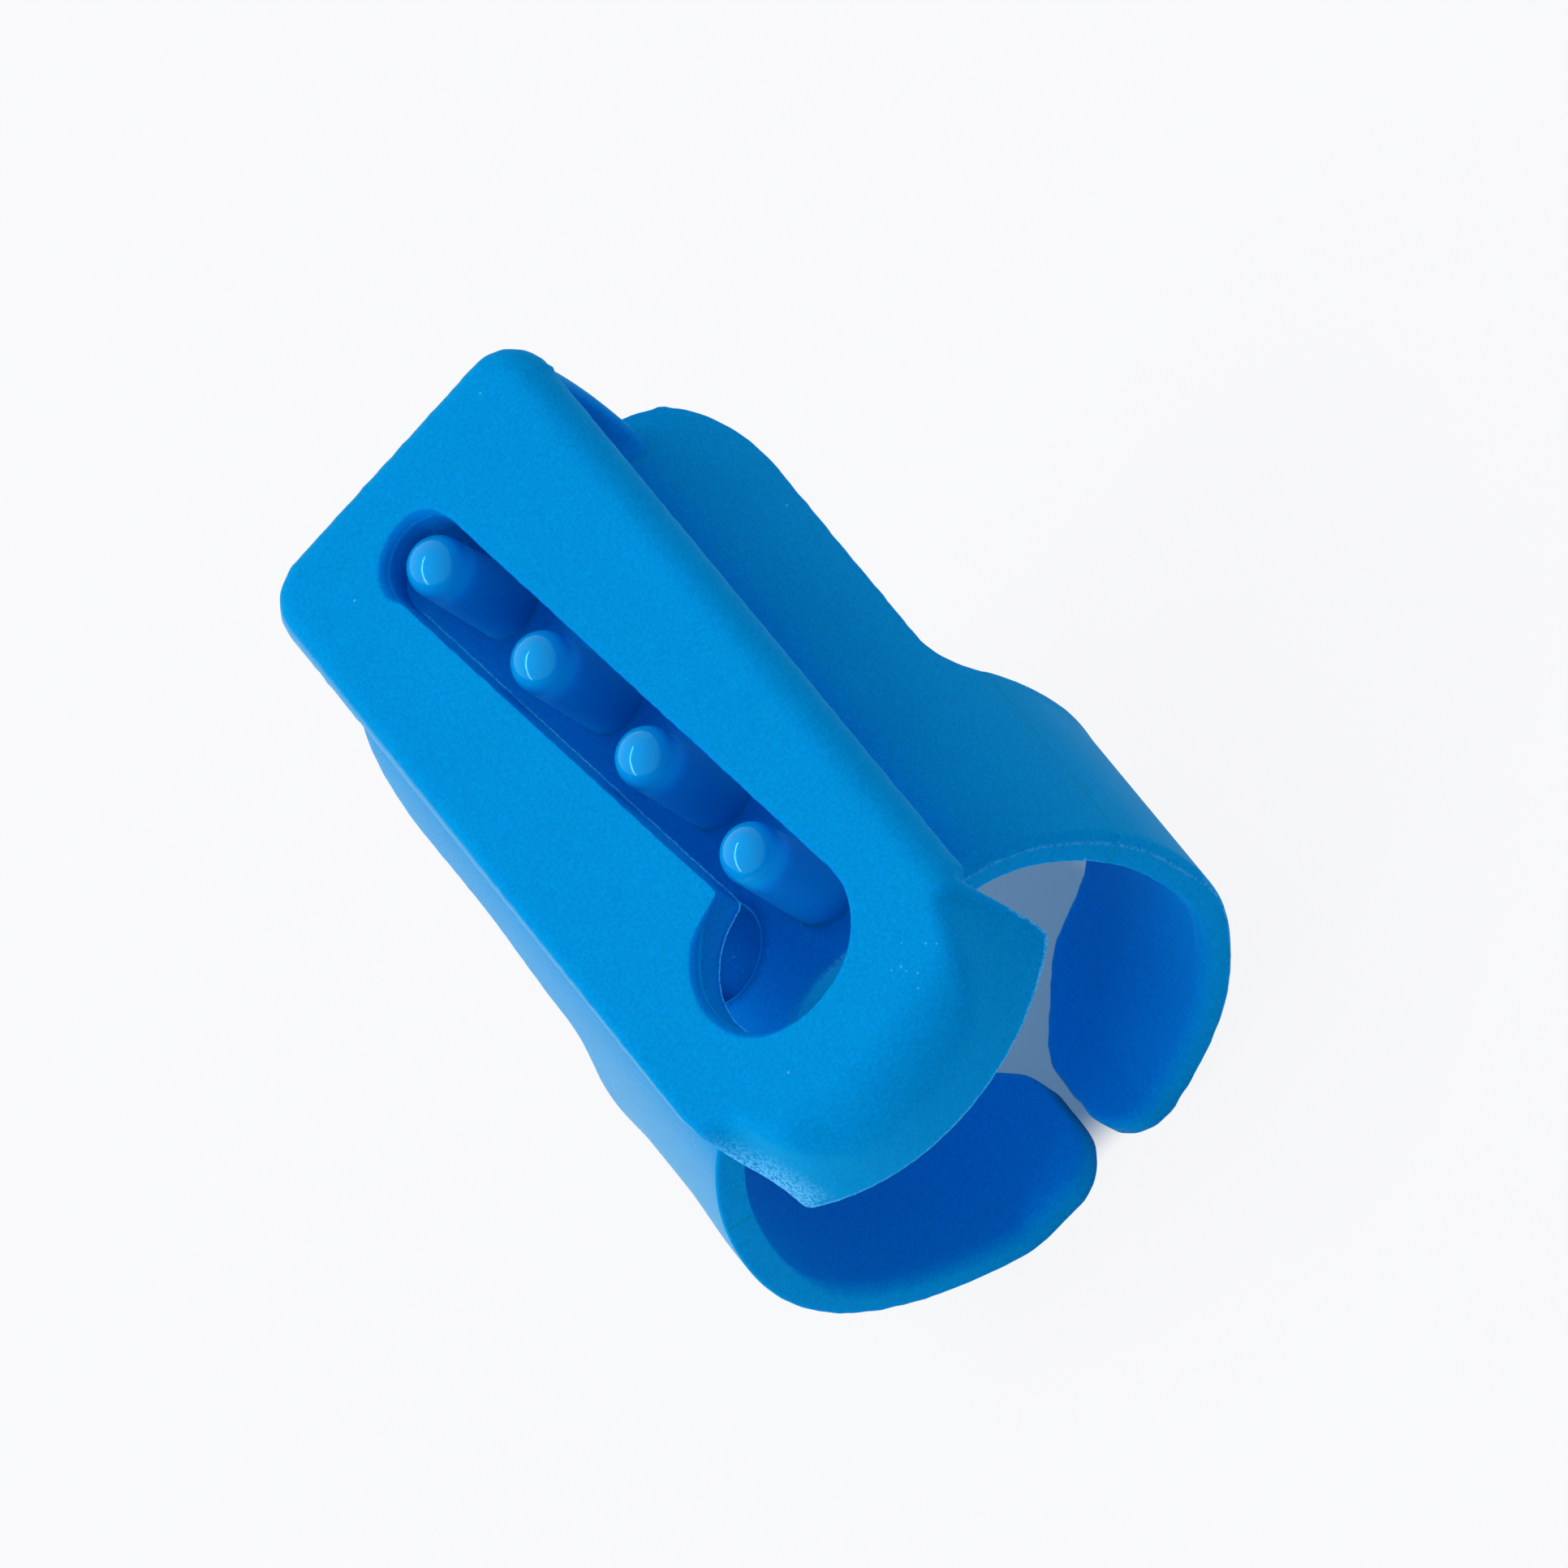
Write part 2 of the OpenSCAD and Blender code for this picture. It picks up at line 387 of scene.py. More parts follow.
def loop_profiles(loop, thick):
    """Inset, depth and painted light of each point of an outline, step by step over its edge: painted
    highlights and sheen above zero, painted shade below.
    """
    rows = []
    for top, foot, flat in zip(loop.top, loop.foot, loop.flat):
        rows.append(seam_profile(thick) if flat else round_profile(thick, top, foot))
    inset, depth = np.array(rows).transpose(1, 0, 2)
    half = ROUND_STEPS + 1
    inset[:, half + 1:half + 4] -= loop.fin[:, None]
    painted = np.zeros(inset.shape)
    # Painted shade on the slot's walls when the loop is sheltered; on every edge it grows to full down
    # towards the lower face
    if loop.sheltered:
        painted[:, 2:half + 1] = SLOT_WALL
    painted[:, half:] = np.minimum(painted[:, half:], -np.linspace(0, 1, half))
    # Painted highlights along crisp top edges and the top edge row, painted sheen on the nose's left, and
    # painted highlights along the foot
    fine = loop.highlight_top * (loop.top < CRISP)
    painted[:, 1:half - 1] += fine[:, None]
    painted[:, half - 2] = np.maximum(painted[:, half - 2], loop.highlight_top)
    cast = loop.cast[:, None]
    painted[:, :half] = np.where(cast > 0, np.maximum(painted[:, :half], cast), painted[:, :half])
    foot_highlight = loop.highlight_foot[:, None]
    painted[:, half + 1:-1] = np.where(foot_highlight > 0, foot_highlight, painted[:, half + 1:-1])
    return inset, depth, painted


def bridged(rows, loop):
    """Straightens the edge between two places of an outline, leaving its faces where they are."""
    half = ROUND_STEPS + 1
    for first, last in loop.bridges:
        part = slice(first, last + 1)
        run = lengths(loop.points[part])
        share = run[:, None] / run[-1]
        for k, row in enumerate(rows):
            pull = min(k / (half - 1), (len(rows) - 1 - k) / half)
            straight = row[first] + (row[last] - row[first]) * share
            row[part] += pull * (straight - row[part])
    return rows


def smooth(value, start, end):
    """Zero before start, one after end, and a soft rise between them."""
    share = np.clip((np.asarray(value, float) - start) / (end - start), 0, 1)
    return share * share * (3 - 2 * share)


# Turns in degrees that a soft curve covers, and over how many of them it is evened out
CURVE_TURNS = (-20, 111)
CURVE_SOFT = 13


def soft_curve(value, knots, heights):
    """A height read from a few knots in degrees either side of the middle, without kinks."""
    fine = np.arange(*CURVE_TURNS)
    kernel = np.hanning(CURVE_SOFT)
    level = np.convolve(np.interp(np.abs(fine), knots, heights), kernel / kernel.sum(), mode="same")
    return np.interp(np.abs(np.degrees(value)), fine, level)


def nudged(loop, place, reach, push):
    """Pushes an outline outwards next to a place, as a bit of moulding flash does."""
    near = np.linalg.norm(loop.points - np.array(place), axis=1)
    loop.points -= loop.step * (push * swell(near, 0, reach))[:, None]
    return loop


def swell(value, middle, reach):
    """A soft hump, one at the middle and nothing beyond the reach."""
    return np.cos(np.clip((np.asarray(value, float) - middle) / reach, -1, 1) * math.pi / 2) ** 2


def inside(points, outline):
    """Which points lie in a closed outline."""
    x, y = points[:, 0, None], points[:, 1, None]
    x0, y0 = outline[:, 0], outline[:, 1]
    x1, y1 = np.roll(x0, -1), np.roll(y0, -1)
    rise = np.where(y1 == y0, 1e-12, y1 - y0)
    crosses = ((y0 > y) != (y1 > y)) & (x < (x1 - x0) * (y - y0) / rise + x0)
    return crosses.sum(1) % 2 == 1


def in_plate(points, outlines):
    """Which points lie in the first outline and in none of the others."""
    keep = inside(points, outlines[0])
    for other in outlines[1:]:
        keep &= ~inside(points, other)
    return keep


def fill(outlines, step):
    """Even triangles inside the first outline and outside the others: added points and faces by index."""
    edge = np.concatenate(outlines)
    low, high = outlines[0].min(0), outlines[0].max(0)
    across, along = [np.arange(low[k] + step / 2, high[k], step) for k in (0, 1)]
    grid = np.stack(np.meshgrid(across, along), -1).reshape(-1, 2)
    grid = grid[in_plate(grid, outlines)]
    grid = grid[nearest(grid, edge) > EDGE_ROOM * step]
    links, first = [], 0
    for outline in outlines:
        count = len(outline)
        links += [(first + i, first + (i + 1) % count) for i in range(count)]
        first += count
    given = [Vector(p) for p in np.concatenate([edge, grid])]
    found, _, faces, origin, _, _ = delaunay_2d_cdt(given, links, [], 1, MERGE)
    if len(found) != len(given):
        raise RuntimeError("an outline crosses itself")
    middle = np.array([np.mean([found[i] for i in face], axis=0) for face in faces])
    index = [o[0] for o in origin]
    solid = in_plate(middle, outlines)
    return grid, [[index[i] for i in face] for face, kept in zip(faces, solid) if kept]


# Meshes

class Moulding:
    """Collects the points and faces of one piece, in millimetres."""

    def __init__(self):
        self.points = []
        self.shine_and_painted_light = []
        self.faces = []

    def add(self, points, shine_and_painted_light=0.0):
        """Adds points with their painted light and polish values and gives their numbers."""
        first = len(self.points)
        self.points.extend(np.asarray(points, float).reshape(-1, 3).tolist())
        count = len(self.points) - first
        self.shine_and_painted_light.extend(np.broadcast_to(shine_and_painted_light, count).tolist())
        return np.arange(first, first + count)

    def skin(self, rows):
        """Quads between closed rows of the same number of points."""
        count = len(rows[0])
        for low, high in zip(rows, rows[1:]):
            for i in range(count):
                j = (i + 1) % count
                self.faces.append((low[i], low[j], high[j], high[i]))

    def fan(self, row, centre):
        """Triangles from a closed row to a centre."""
        for i in range(len(row)):
            self.faces.append((row[i], row[(i + 1) % len(row)], centre))

    def piece(self, name, material):
        """Makes the object, with smooth faces and sharp edges kept."""
        mesh = bpy.data.meshes.new(name)
        mesh.from_pydata([Vector(p) * MM for p in self.points], [], self.faces)
        layer = mesh.attributes.new("painted_light_and_polish", "FLOAT", "POINT")
        layer.data.foreach_set("value", np.array(self.shine_and_painted_light, np.float32))
        form = bmesh.new()
        form.from_mesh(mesh)
        bmesh.ops.remove_doubles(form, verts=form.verts, dist=WELD)
        loose = [v for v in form.verts if not v.link_faces]
        bmesh.ops.delete(form, geom=loose, context="VERTS")
        triangles = [f for f in form.faces if len(f.verts) == 3]
        bmesh.ops.join_triangles(form, faces=triangles, angle_face_threshold=FLAT_ANGLE,
                                 angle_shape_threshold=SQUARE_ANGLE)
        bmesh.ops.recalc_face_normals(form, faces=form.faces)
        form.to_mesh(mesh)
        form.free()
        mesh.shade_smooth()
        mesh.set_sharp_from_angle(angle=SHARP_ANGLE)
        mesh.materials.append(material)
        item = bpy.data.objects.new(name, mesh)
        bpy.context.scene.collection.objects.link(item)
        return item


def exposed(points):
    """Painted light of a face that lies in the open: none."""
    return 0.0


def sheltered(points):
    """Painted shade of a face that lies in shelter, such as a lower face."""
    return SHELTER_SHADE


def plate(moulding, place, thick, loops, step, pits=(), top_painted_light=exposed):
    """Adds a closed plate: loops of edges, a filled top with round pits, and a filled lower face."""
    tops, feet, top_ids, foot_ids = [], [], [], []
    for loop in loops:
        inset, depth, shine_and_painted_light = loop_profiles(loop, thick)
        formed = [place(loop.points + loop.step * inset[:, k, None], depth[:, k])
                  for k in range(inset.shape[1])]
        rows = [moulding.add(row, shine_and_painted_light[:, k]) for k, row in enumerate(bridged(formed, loop))]
        moulding.skin(rows)
        tops.append(loop.points + loop.step * inset[:, 0, None])
        feet.append(loop.points + loop.step * inset[:, -1, None])
        top_ids.append(rows[0])
        foot_ids.append(rows[-1])
    for centre, profile, count in pits:
        rows = []
        for radius, depth in profile:
            ring = arc(centre, (radius, radius), 360, 0, count)
            # The dimple's rim row gets a painted highlight, the rest of the dimple painted shade
            shine_and_painted_light = PIT_RIM_HIGHLIGHT if len(rows) == 1 else PIT_SHADE
            rows.append(moulding.add(place(ring, np.full(count, depth)), shine_and_painted_light))
        middle = moulding.add(place(np.array([centre]), np.array([profile[-1][1]])), PIT_SHADE)[0]
        moulding.skin(rows)
        moulding.fan(rows[-1], middle)
        tops.append(arc(centre, (profile[0][0],) * 2, 360, 0, count))
        top_ids.append(rows[0])
    faces_to_fill = ((tops, top_ids, 0.0, top_painted_light), (feet, foot_ids, thick, sheltered))
    for outlines, ids, depth, shine_and_painted_light in faces_to_fill:
        grid, faces = fill(outlines, step)
        inner = moulding.add(place(grid, np.full(len(grid), depth)), shine_and_painted_light(grid))
        index = np.concatenate([*ids, inner])
        moulding.faces.extend(tuple(index[i] for i in face) for face in faces)


def on_lid(points, lid):
    """Points written against the lid top, moved into the part's frame with the lid's cant."""
    x, y, z = np.asarray(points, float).T
    cos, sin = math.cos(lid.cant), math.sin(lid.cant)
    return np.stack([x * cos - z * sin, y, lid.top + x * sin + z * cos], 1)


def soft_min(a, b, reach):
    """The lesser of two, with a short curve where they meet."""
    gap = np.clip(reach - np.abs(a - b), 0, None) / reach
    return np.minimum(a, b) - gap ** 2 * reach / 4


# Places where the ring has sprung out of round: push in mm, then middle and reach as turns in degrees
LEFT_IN = (-0.14, 84, 25)
LEFT_OUT = (0.40, 110, 38)
RIGHT_OUT = (0.15, 106, 22)
RIGHT_LIP = (0.12, 94, 18)
RIGHT_IN = (-0.24, 160, 32)

# Places along the finger, in mm, over which those grow or fade, and how much of the left one fades
LEFT_IN_RISE = (1, 4)
LEFT_IN_FALL = (7, 10)
LEFT_OUT_FALL = (0.5, 6)
LEFT_OUT_FADE = 0.6
RIGHT_LIP_RISE = (8.4, 9.7)


def ring_spring(turn, along):
    """How far the ring is out of round, at a turn from the top and a place along the finger."""

    def sprung(degrees, push, middle, reach):
        return push * swell(degrees, middle, reach)

    right = np.degrees(turn)
    left_in = sprung(-right, *LEFT_IN) * smooth(along, *LEFT_IN_RISE) * (1 - smooth(along, *LEFT_IN_FALL))
    left_out = sprung(-right, *LEFT_OUT) * (1 - LEFT_OUT_FADE * smooth(along, *LEFT_OUT_FALL))
    right_lip = sprung(right, *RIGHT_LIP) * smooth(along, *RIGHT_LIP_RISE)
    return left_in + left_out + sprung(right, *RIGHT_OUT) + right_lip + sprung(right, *RIGHT_IN)


# Low ridges inside the tongues: place of each at the near rim and its slant, then their form
LEFT_CREASE = (-2.25, -0.14)
RIGHT_CREASE = (3.3, -0.07)
CREASE_HEIGHT = 0.07
CREASE_REACH = 0.2


def tongue_crease(across, along):
    """Height of the low ridges inside the tongues."""
    ridges = [swell(across, place + slant * along, CREASE_REACH)
              for place, slant in (LEFT_CREASE, RIGHT_CREASE)]
    return CREASE_HEIGHT * sum(ridges)


# How softly the round ring turns into its flat underside, outside and inside, in mm
SOLE_SOFT_OUT = 0.12
SOLE_SOFT_IN = 0.05

# Cosines of the turn: the least one that the flattening divides by, and the one below which creases lie
SOLE_DOWN = 0.2
CREASE_DOWN = -0.5


def ring_place(ring, side=1):
    """Maps an unrolled point, along the outside and along the finger, and a depth onto the ring."""
    inner_r = ring.outer_r - ring.wall

    def place(flat, depth):
        turn = flat[:, 0] / ring.outer_r
        spring = ring_spring(side * turn, flat[:, 1])
        down = np.clip(-np.cos(turn), SOLE_DOWN, None)
        outside = soft_min(ring.outer_r + spring, ring.axis_h / down, SOLE_SOFT_OUT)
        within = soft_min(inner_r + spring, ring.sole_in / down, SOLE_SOFT_IN)
        crease = tongue_crease(side * within * np.sin(turn), flat[:, 1])
        within -= crease * (np.cos(turn) < CREASE_DOWN)
        radius = outside + (within - outside) * depth / ring.wall
        height = np.maximum(ring.axis_h + radius * np.cos(turn), 0)
        return np.stack([side * radius * np.sin(turn), ring.near_y + flat[:, 1], height], 1)

    return place


def band_far(ring, run, width):
    """Far edge of the ring band at an unrolled place, narrowing from the arm root to the tongue."""
    height = ring.axis_h + ring.outer_r * np.cos(run / ring.outer_r)
    low = 2 * ring.wall
    high = ring.axis_h + ring.outer_r * math.cos(ring.root)
    share = np.clip((height - low) / (high - low), 0, 1)
    return ring.tongue_w + (width - ring.tongue_w) * share


# Where the near rim's roundings change, as unrolled places in mm
SOFT_RIM = (3, 6)
SOFT_RIM_END = (17, 20)
TONGUE_RIM = (17, 22)

# The near rim's bulge towards the nose, and a second one on the left
RIM_BULGE = 0.38
RIM_BULGE_FALL = (5, 9)
LEFT_BULGE = 0.3
LEFT_BULGE_RISE = (1.3, 2.4)
LEFT_BULGE_FALL = (4, 8)

# Where the near rim gets painted highlights, outside and inside
HIGHLIGHT_OUT = (-1.5, 0.5)
HIGHLIGHT_IN = (4, 7)

# Far corners of the flanks, as across and along, and how the left flank differs
RIGHT_CORNER = (3.25, 4.2)
LEFT_CORNER = (2.8, 5.0)
LEFT_NOTCH = 1.65
LEFT_LOW = 0.6
LEFT_STRAIGHT = 17

# Moulding marks: how far edges wander, pitch and seeds of that, and flash with place, reach and push
WANDER = 0.05
PITCH = 0.6
SADDLE_SEED = 1.0
ARM_SEED = 2.0
FLANK_FLASH = ((8.6, 25.6), 0.35, 0.16)

# Points on the roundings of the flanks and notches, and where the painted shade under the lid ends
NOTCH_POINTS = 12
RIGHT_POINTS = 20
LEFT_POINTS = 24
SHELTER_END = (5.5, 7.5)


def rim_edges(ring, run):
    """Roundings of the near rim at unrolled places: outer edge and inner edge."""
    soft = smooth(run, *SOFT_RIM) * (1 - smooth(run, *SOFT_RIM_END))
    out = ring.edge_out + (ring.rim_out - ring.edge_out) * soft
    within = THIN_EDGE + (ring.tongue_in - THIN_EDGE) * smooth(np.abs(run), *TONGUE_RIM)
    return out, within


def saddle_rim(ring, root):
    """Near rim of the saddle, from the left arm's root to the right one's."""
    rim = line((-root, 0), (root, 0), STEP)
    x = rim[:, 0]
    left_bulge = smooth(-x, *LEFT_BULGE_RISE) * (1 - smooth(-x, *LEFT_BULGE_FALL))
    rim[:, 1] = -RIM_BULGE * (1 - smooth(np.abs(x), *RIM_BULGE_FALL)) - LEFT_BULGE * left_bulge
    part = stretch(rim, ring.edge_out, THIN_EDGE)
    part.top, part.foot = rim_edges(ring, x)
    # Painted highlights along the near rim's outer and inner edges
    part.highlight_top = RIM_HIGHLIGHT * smooth(x, *HIGHLIGHT_OUT)
    part.highlight_foot = RIM_HIGHLIGHT * smooth(x, *HIGHLIGHT_IN)
    return part


def saddle_loop(ring):
    """Unrolled saddle with its flanks, notches and arm stubs."""
    edges = ring.edge_out, ring.edge_in
    edge = ring.outer_r * ring.flank
    root = ring.outer_r * ring.root
    far = ring.saddle_len
    right_turn = ring.band_w + ring.notch_r
    right_notch = (root - edge, ring.notch_r)
    right_end = (edge - RIGHT_CORNER[0], far - RIGHT_CORNER[1])
    left_edge = edge - ring.flank_in
    left_turn = ring.band_w_left + LEFT_NOTCH
    left_notch = (root - left_edge - LEFT_LOW, LEFT_NOTCH)
    left_end = (LEFT_CORNER[0] - left_edge, far - LEFT_CORNER[1])
    left = line((-left_edge, left_end[1]), (-left_edge, left_turn), STEP)
    left[:, 0] -= LEFT_LOW * (1 - smooth(left[:, 1], left_turn, LEFT_STRAIGHT))
    loop = edge_loop(
        saddle_rim(ring, root),
        stretch(line((root, 0), (root, ring.band_w), SEAM_STEP), ring.edge_out, THIN_EDGE, butts=True),
        stretch(arc((root, right_turn), right_notch, 270, 180, NOTCH_POINTS), *edges),
        stretch(line((edge, right_turn), (edge, right_end[1]), STEP), *edges),
        stretch(arc(right_end, RIGHT_CORNER, 0, 90, RIGHT_POINTS), *edges),
        stretch(line((right_end[0], far), (left_end[0], far), STEP), *edges),
        stretch(arc(left_end, LEFT_CORNER, 90, 180, LEFT_POINTS), *edges),
        stretch(left, *edges),
        stretch(arc((-root, left_turn), left_notch, 0, -90, NOTCH_POINTS), *edges),
        stretch(line((-root, ring.band_w_left), (-root, 0), SEAM_STEP), *edges, butts=True),
    )
    return nudged(roughened(loop, WANDER, PITCH, SADDLE_SEED), *FLANK_FLASH)


def under_lid(points):
    """Painted shade on the saddle top: full under the lid, none on the flanks."""
    return smooth(np.abs(points[:, 0]), *SHELTER_END) - 1


# The tongues' near edges stand a little back or forward, and their far corners are eased by these reaches
RIGHT_BACK = 0.05
LEFT_BACK = -0.08
CORNER_DROP = 0.15
CORNER_REACHES = (1.1, 1.2)
CORNER_STEP = 0.25
CORNER_TAIL = 2
NEAR_POINTS = 16
BACK_START = 6


def tongue_corner(ring, tip_x, near_end):
    """Unrolled tip of a tongue, from its near corner along the gap and over the slanted far corner."""
    gap_end = (0, ring.far_corner)
    slant_end = (ring.far_reach, ring.tongue_w - CORNER_DROP)
    knots = [(0, near_end), gap_end, slant_end, (ring.far_reach + CORNER_TAIL, ring.tongue_w)]
    slant = np.concatenate([line(a, b, FINE_STEP) for a, b in zip(knots, knots[1:])])
    for corner, reach in zip((gap_end, slant_end), CORNER_REACHES):
        slant = eased(slant, corner, reach)
    slant = even(slant, CORNER_STEP)
    slant[:, 0] = ring.outer_r * (math.pi - np.arctan2(tip_x + slant[:, 0], ring.axis_h))
    return slant


def arm_loop(ring, side):
    """Unrolled ring arm from its root to the tongue's rounded tip, drawn on the right."""
    out, within = ring.edge_out, ring.edge_in
    root = ring.outer_r * ring.root
    near_r, width, back = ring.near_r_left, ring.band_w_left, LEFT_BACK
    if side > 0:
        near_r, width, back = ring.near_r_right, ring.band_w, RIGHT_BACK
    slant = tongue_corner(ring, side * ring.gap_x + ring.gap / 2, near_r + back)
    tip = slant[0, 0]
    run = np.arange(root, slant[-1, 0] - STEP / 2, STEP)
    far = np.stack([run, band_far(ring, run, width)], 1)
    rim = line((root, 0), (tip - near_r, 0), STEP)
    rim[:, 1] = back * smooth(rim[:, 0], root + BACK_START, tip - near_r)
    # The right arm's rim gets a painted highlight along its top edge
    rim_part = stretch(rim, out, within, painted=(RIM_HIGHLIGHT * (side > 0), 0.0))
    rim_part.top, rim_part.foot = rim_edges(ring, side * rim[:, 0])
    corner = arc((tip - near_r, near_r + back), (near_r, near_r), -90, 0, NEAR_POINTS)
    loop = edge_loop(
        rim_part,
        stretch(corner, out, (ring.tongue_in, within)),
        stretch(slant, out, within),
        stretch(far[:0:-1], out, within),
        stretch(line((root, width), (root, 0), SEAM_STEP), out, within, butts=True),
    )
    return roughened(loop, WANDER, PITCH, ARM_SEED + side)


# Turns from the nose's middle, in degrees: knots of its form, where its sides flare, and its least slope
NOSE_TURNS = (0, 20, 29, 36, 42, 48, 56, 65, 90)
RIGHT_FLARE = (43, 51)
LEFT_FLARE = (42, 54)
SIDE_TURN = 60
LEAST_SLOPE = math.radians(55)

# The nose's form at those turns, in mm: later starts at its middle and sides, and wider bends between
MID_RISE = 0.1
SIDE_RISES = (0, 0, 0.85, 2, 5)
MID_TIGHTER = 0.1
BETWEEN_WIDER = (0.3, 0.2)
SIDE_POINTS = 80
FRONT_POINTS = 90

# Bend on the inside of a tight fold, in mm
INNER_BEND = 0.15


def nose_form(lid, turn):
    """Where the nose starts to roll over at a turn from the front, its bend radius and its final slope."""
    mid, ridge, side = lid.start_mid, lid.start_ridge, lid.start_side
    starts = (mid, mid + MID_RISE, ridge, (ridge + side) / 2, *(side + rise for rise in SIDE_RISES))
    start = soft_curve(turn, NOSE_TURNS, starts)
    start = start + lid.late_fold * smooth(np.degrees(turn), *RIGHT_FLARE)
    wide, tight = lid.bend_mid, lid.bend_side
    between = [tight + wider for wider in BETWEEN_WIDER]
    bends = (wide, wide - MID_TIGHTER, *between, *(tight for _ in SIDE_RISES))
    bend = soft_curve(turn, NOSE_TURNS, bends)
    lead, deep = lid.nose_r - start, lid.nose_drop - bend
    slope = np.arctan2(deep, lead) + np.arcsin(np.clip(bend / np.hypot(lead, deep), 0, 1))
    return start, bend, np.clip(slope, LEAST_SLOPE, math.pi / 2)


def rolled(run, start, bend, slope):
    """Radius and drop of a sheet that is flat up to start and then bends over to a slope."""
    over = np.clip(run, 0, None)
    roll = np.clip(over / bend, 0, slope)
    below = np.clip(over - bend * slope, 0, None)
    radius = start + np.minimum(run, 0) + bend * np.sin(roll) + below * np.cos(slope)
    return radius, bend * (1 - np.cos(roll)) + below * np.sin(slope)


def lid_place(lid, near_y):
    """Maps a flattened lid point and a depth onto the lid, rolling the nose over."""

    def place(flat, depth):
        x, y = flat.T
        out = np.hypot(x, y)
        start, bend, slope = nose_form(lid, np.arctan2(x, -y))
        run = np.where(y < 0, out - start, -lid.far)
        radius, drop = rolled(run, start, bend, slope)
        bend_in = np.maximum(bend - lid.thick, INNER_BEND)
        early = (lid.thick - bend + bend_in) * np.tan(slope / 2)
        whole, whole_in = bend * slope + 2 * early, bend_in * slope
        run_in = run + early
        run_in = np.where(run_in > 0, np.minimum(run_in / whole, 1) * whole_in, run_in)
        run_in += np.clip(run + early - whole, 0, None)
        radius_in, drop_in = rolled(run_in, start - early, bend_in, slope)
        share = depth / lid.thick
        radius = radius + (radius_in - radius) * share
        height = -drop - (lid.thick + drop_in - drop) * share
        scale = np.where(run > -early, radius / np.maximum(out, TINY), 1)
        local = np.stack([x * scale, y * scale + near_y, height], 1)
        return on_lid(local, lid)

    return place


def nose_side(lid, side):
    """Flattened side edge of the nose, from the plate down to the tip; side is 1 right and -1 left."""
    half, tip, flare = lid.left, lid.tip_left, LEFT_FLARE
    if side > 0:
        half, tip, flare = lid.right, lid.tip_right, RIGHT_FLARE
    turn = np.linspace(math.radians(SIDE_TURN), math.asin(tip / lid.nose_r), SIDE_POINTS)
    wide = tip + (half - tip) * smooth(np.degrees(turn), *flare)
    radius = wide / np.sin(turn)
    start, bend, slope = nose_form(lid, side * turn)
    lean = np.clip((radius - start) / bend, 0, np.sin(slope))
    below = np.clip(radius - start - bend * np.sin(slope), 0, None) / np.cos(slope)
    out = np.where(radius > start, start + bend * np.arcsin(lean) + below, radius)
    return np.stack([side * out * np.sin(turn), -out * np.cos(turn)], 1)


# Painted sheen on the left of the nose: turns in degrees and flattened radii in mm over which it rises
SHEEN_TURNS = (36, 41)
SHEEN_RISE = (8.3, 10.8)
SHEEN_START = 0.1

# Nose edge: where its painted highlight rises, turns over which its rounding changes, and easing of its
# lower corners
HIGHLIGHT_START = 8.3
HIGHLIGHT_REACH = 2
RIGHT_ROUND = (46, 51)
LEFT_ROUND = (40.5, 43.5)
RIGHT_FOLD = (45.5, 51)
TIP_EASE = (0.5, 0.6)
NOSE_STEP = 0.2

# Moulding marks of the lid: how far edges wander, pitch and seeds of that, and flash with reach and push
LID_WANDER = 0.04
LID_PITCH = 0.5
LID_SEED = 5.0
SLOT_SEED = 9.0
LID_FLASH = (0.3, 0.12)
FLASH_IN = (0.1, 0.3)
LEFT_JOIN = 0.1
LID_POINTS = 22


def nose_sheen(lid):
    """Painted sheen on the lid top along the left side of the nose, strongest at its tip."""
    edge = nose_side(lid, -1)

    def shine_and_painted_light(points):
        low = smooth(np.hypot(points[:, 0], points[:, 1]), *SHEEN_RISE)
        away = smooth(nearest(points, edge), SHEEN_START, lid.sheen_reach)
        return NOSE_SHEEN * low * (1 - away)

    return shine_and_painted_light


def nose_outline(lid):
    """Flattened edge of the nose, from the plate's left edge round the lip to its right edge."""
    left_side, right_side = nose_side(lid, -1), nose_side(lid, 1)
    ends = np.arcsin(np.array([-lid.tip_left, lid.tip_right]) / lid.nose_r)
    turns = np.linspace(*ends, FRONT_POINTS)[1:-1]
    start, bend, slope = nose_form(lid, turns)
    out = start + bend * slope + (lid.nose_drop - bend * (1 - np.cos(slope))) / np.sin(slope)
    front = np.stack([out * np.sin(turns), -out * np.cos(turns)], 1)
    nose = np.concatenate([left_side, front, right_side[::-1]])
    nose = eased(nose, left_side[-1], TIP_EASE[0])
    return even(eased(nose, right_side[-1], TIP_EASE[1]), NOSE_STEP)


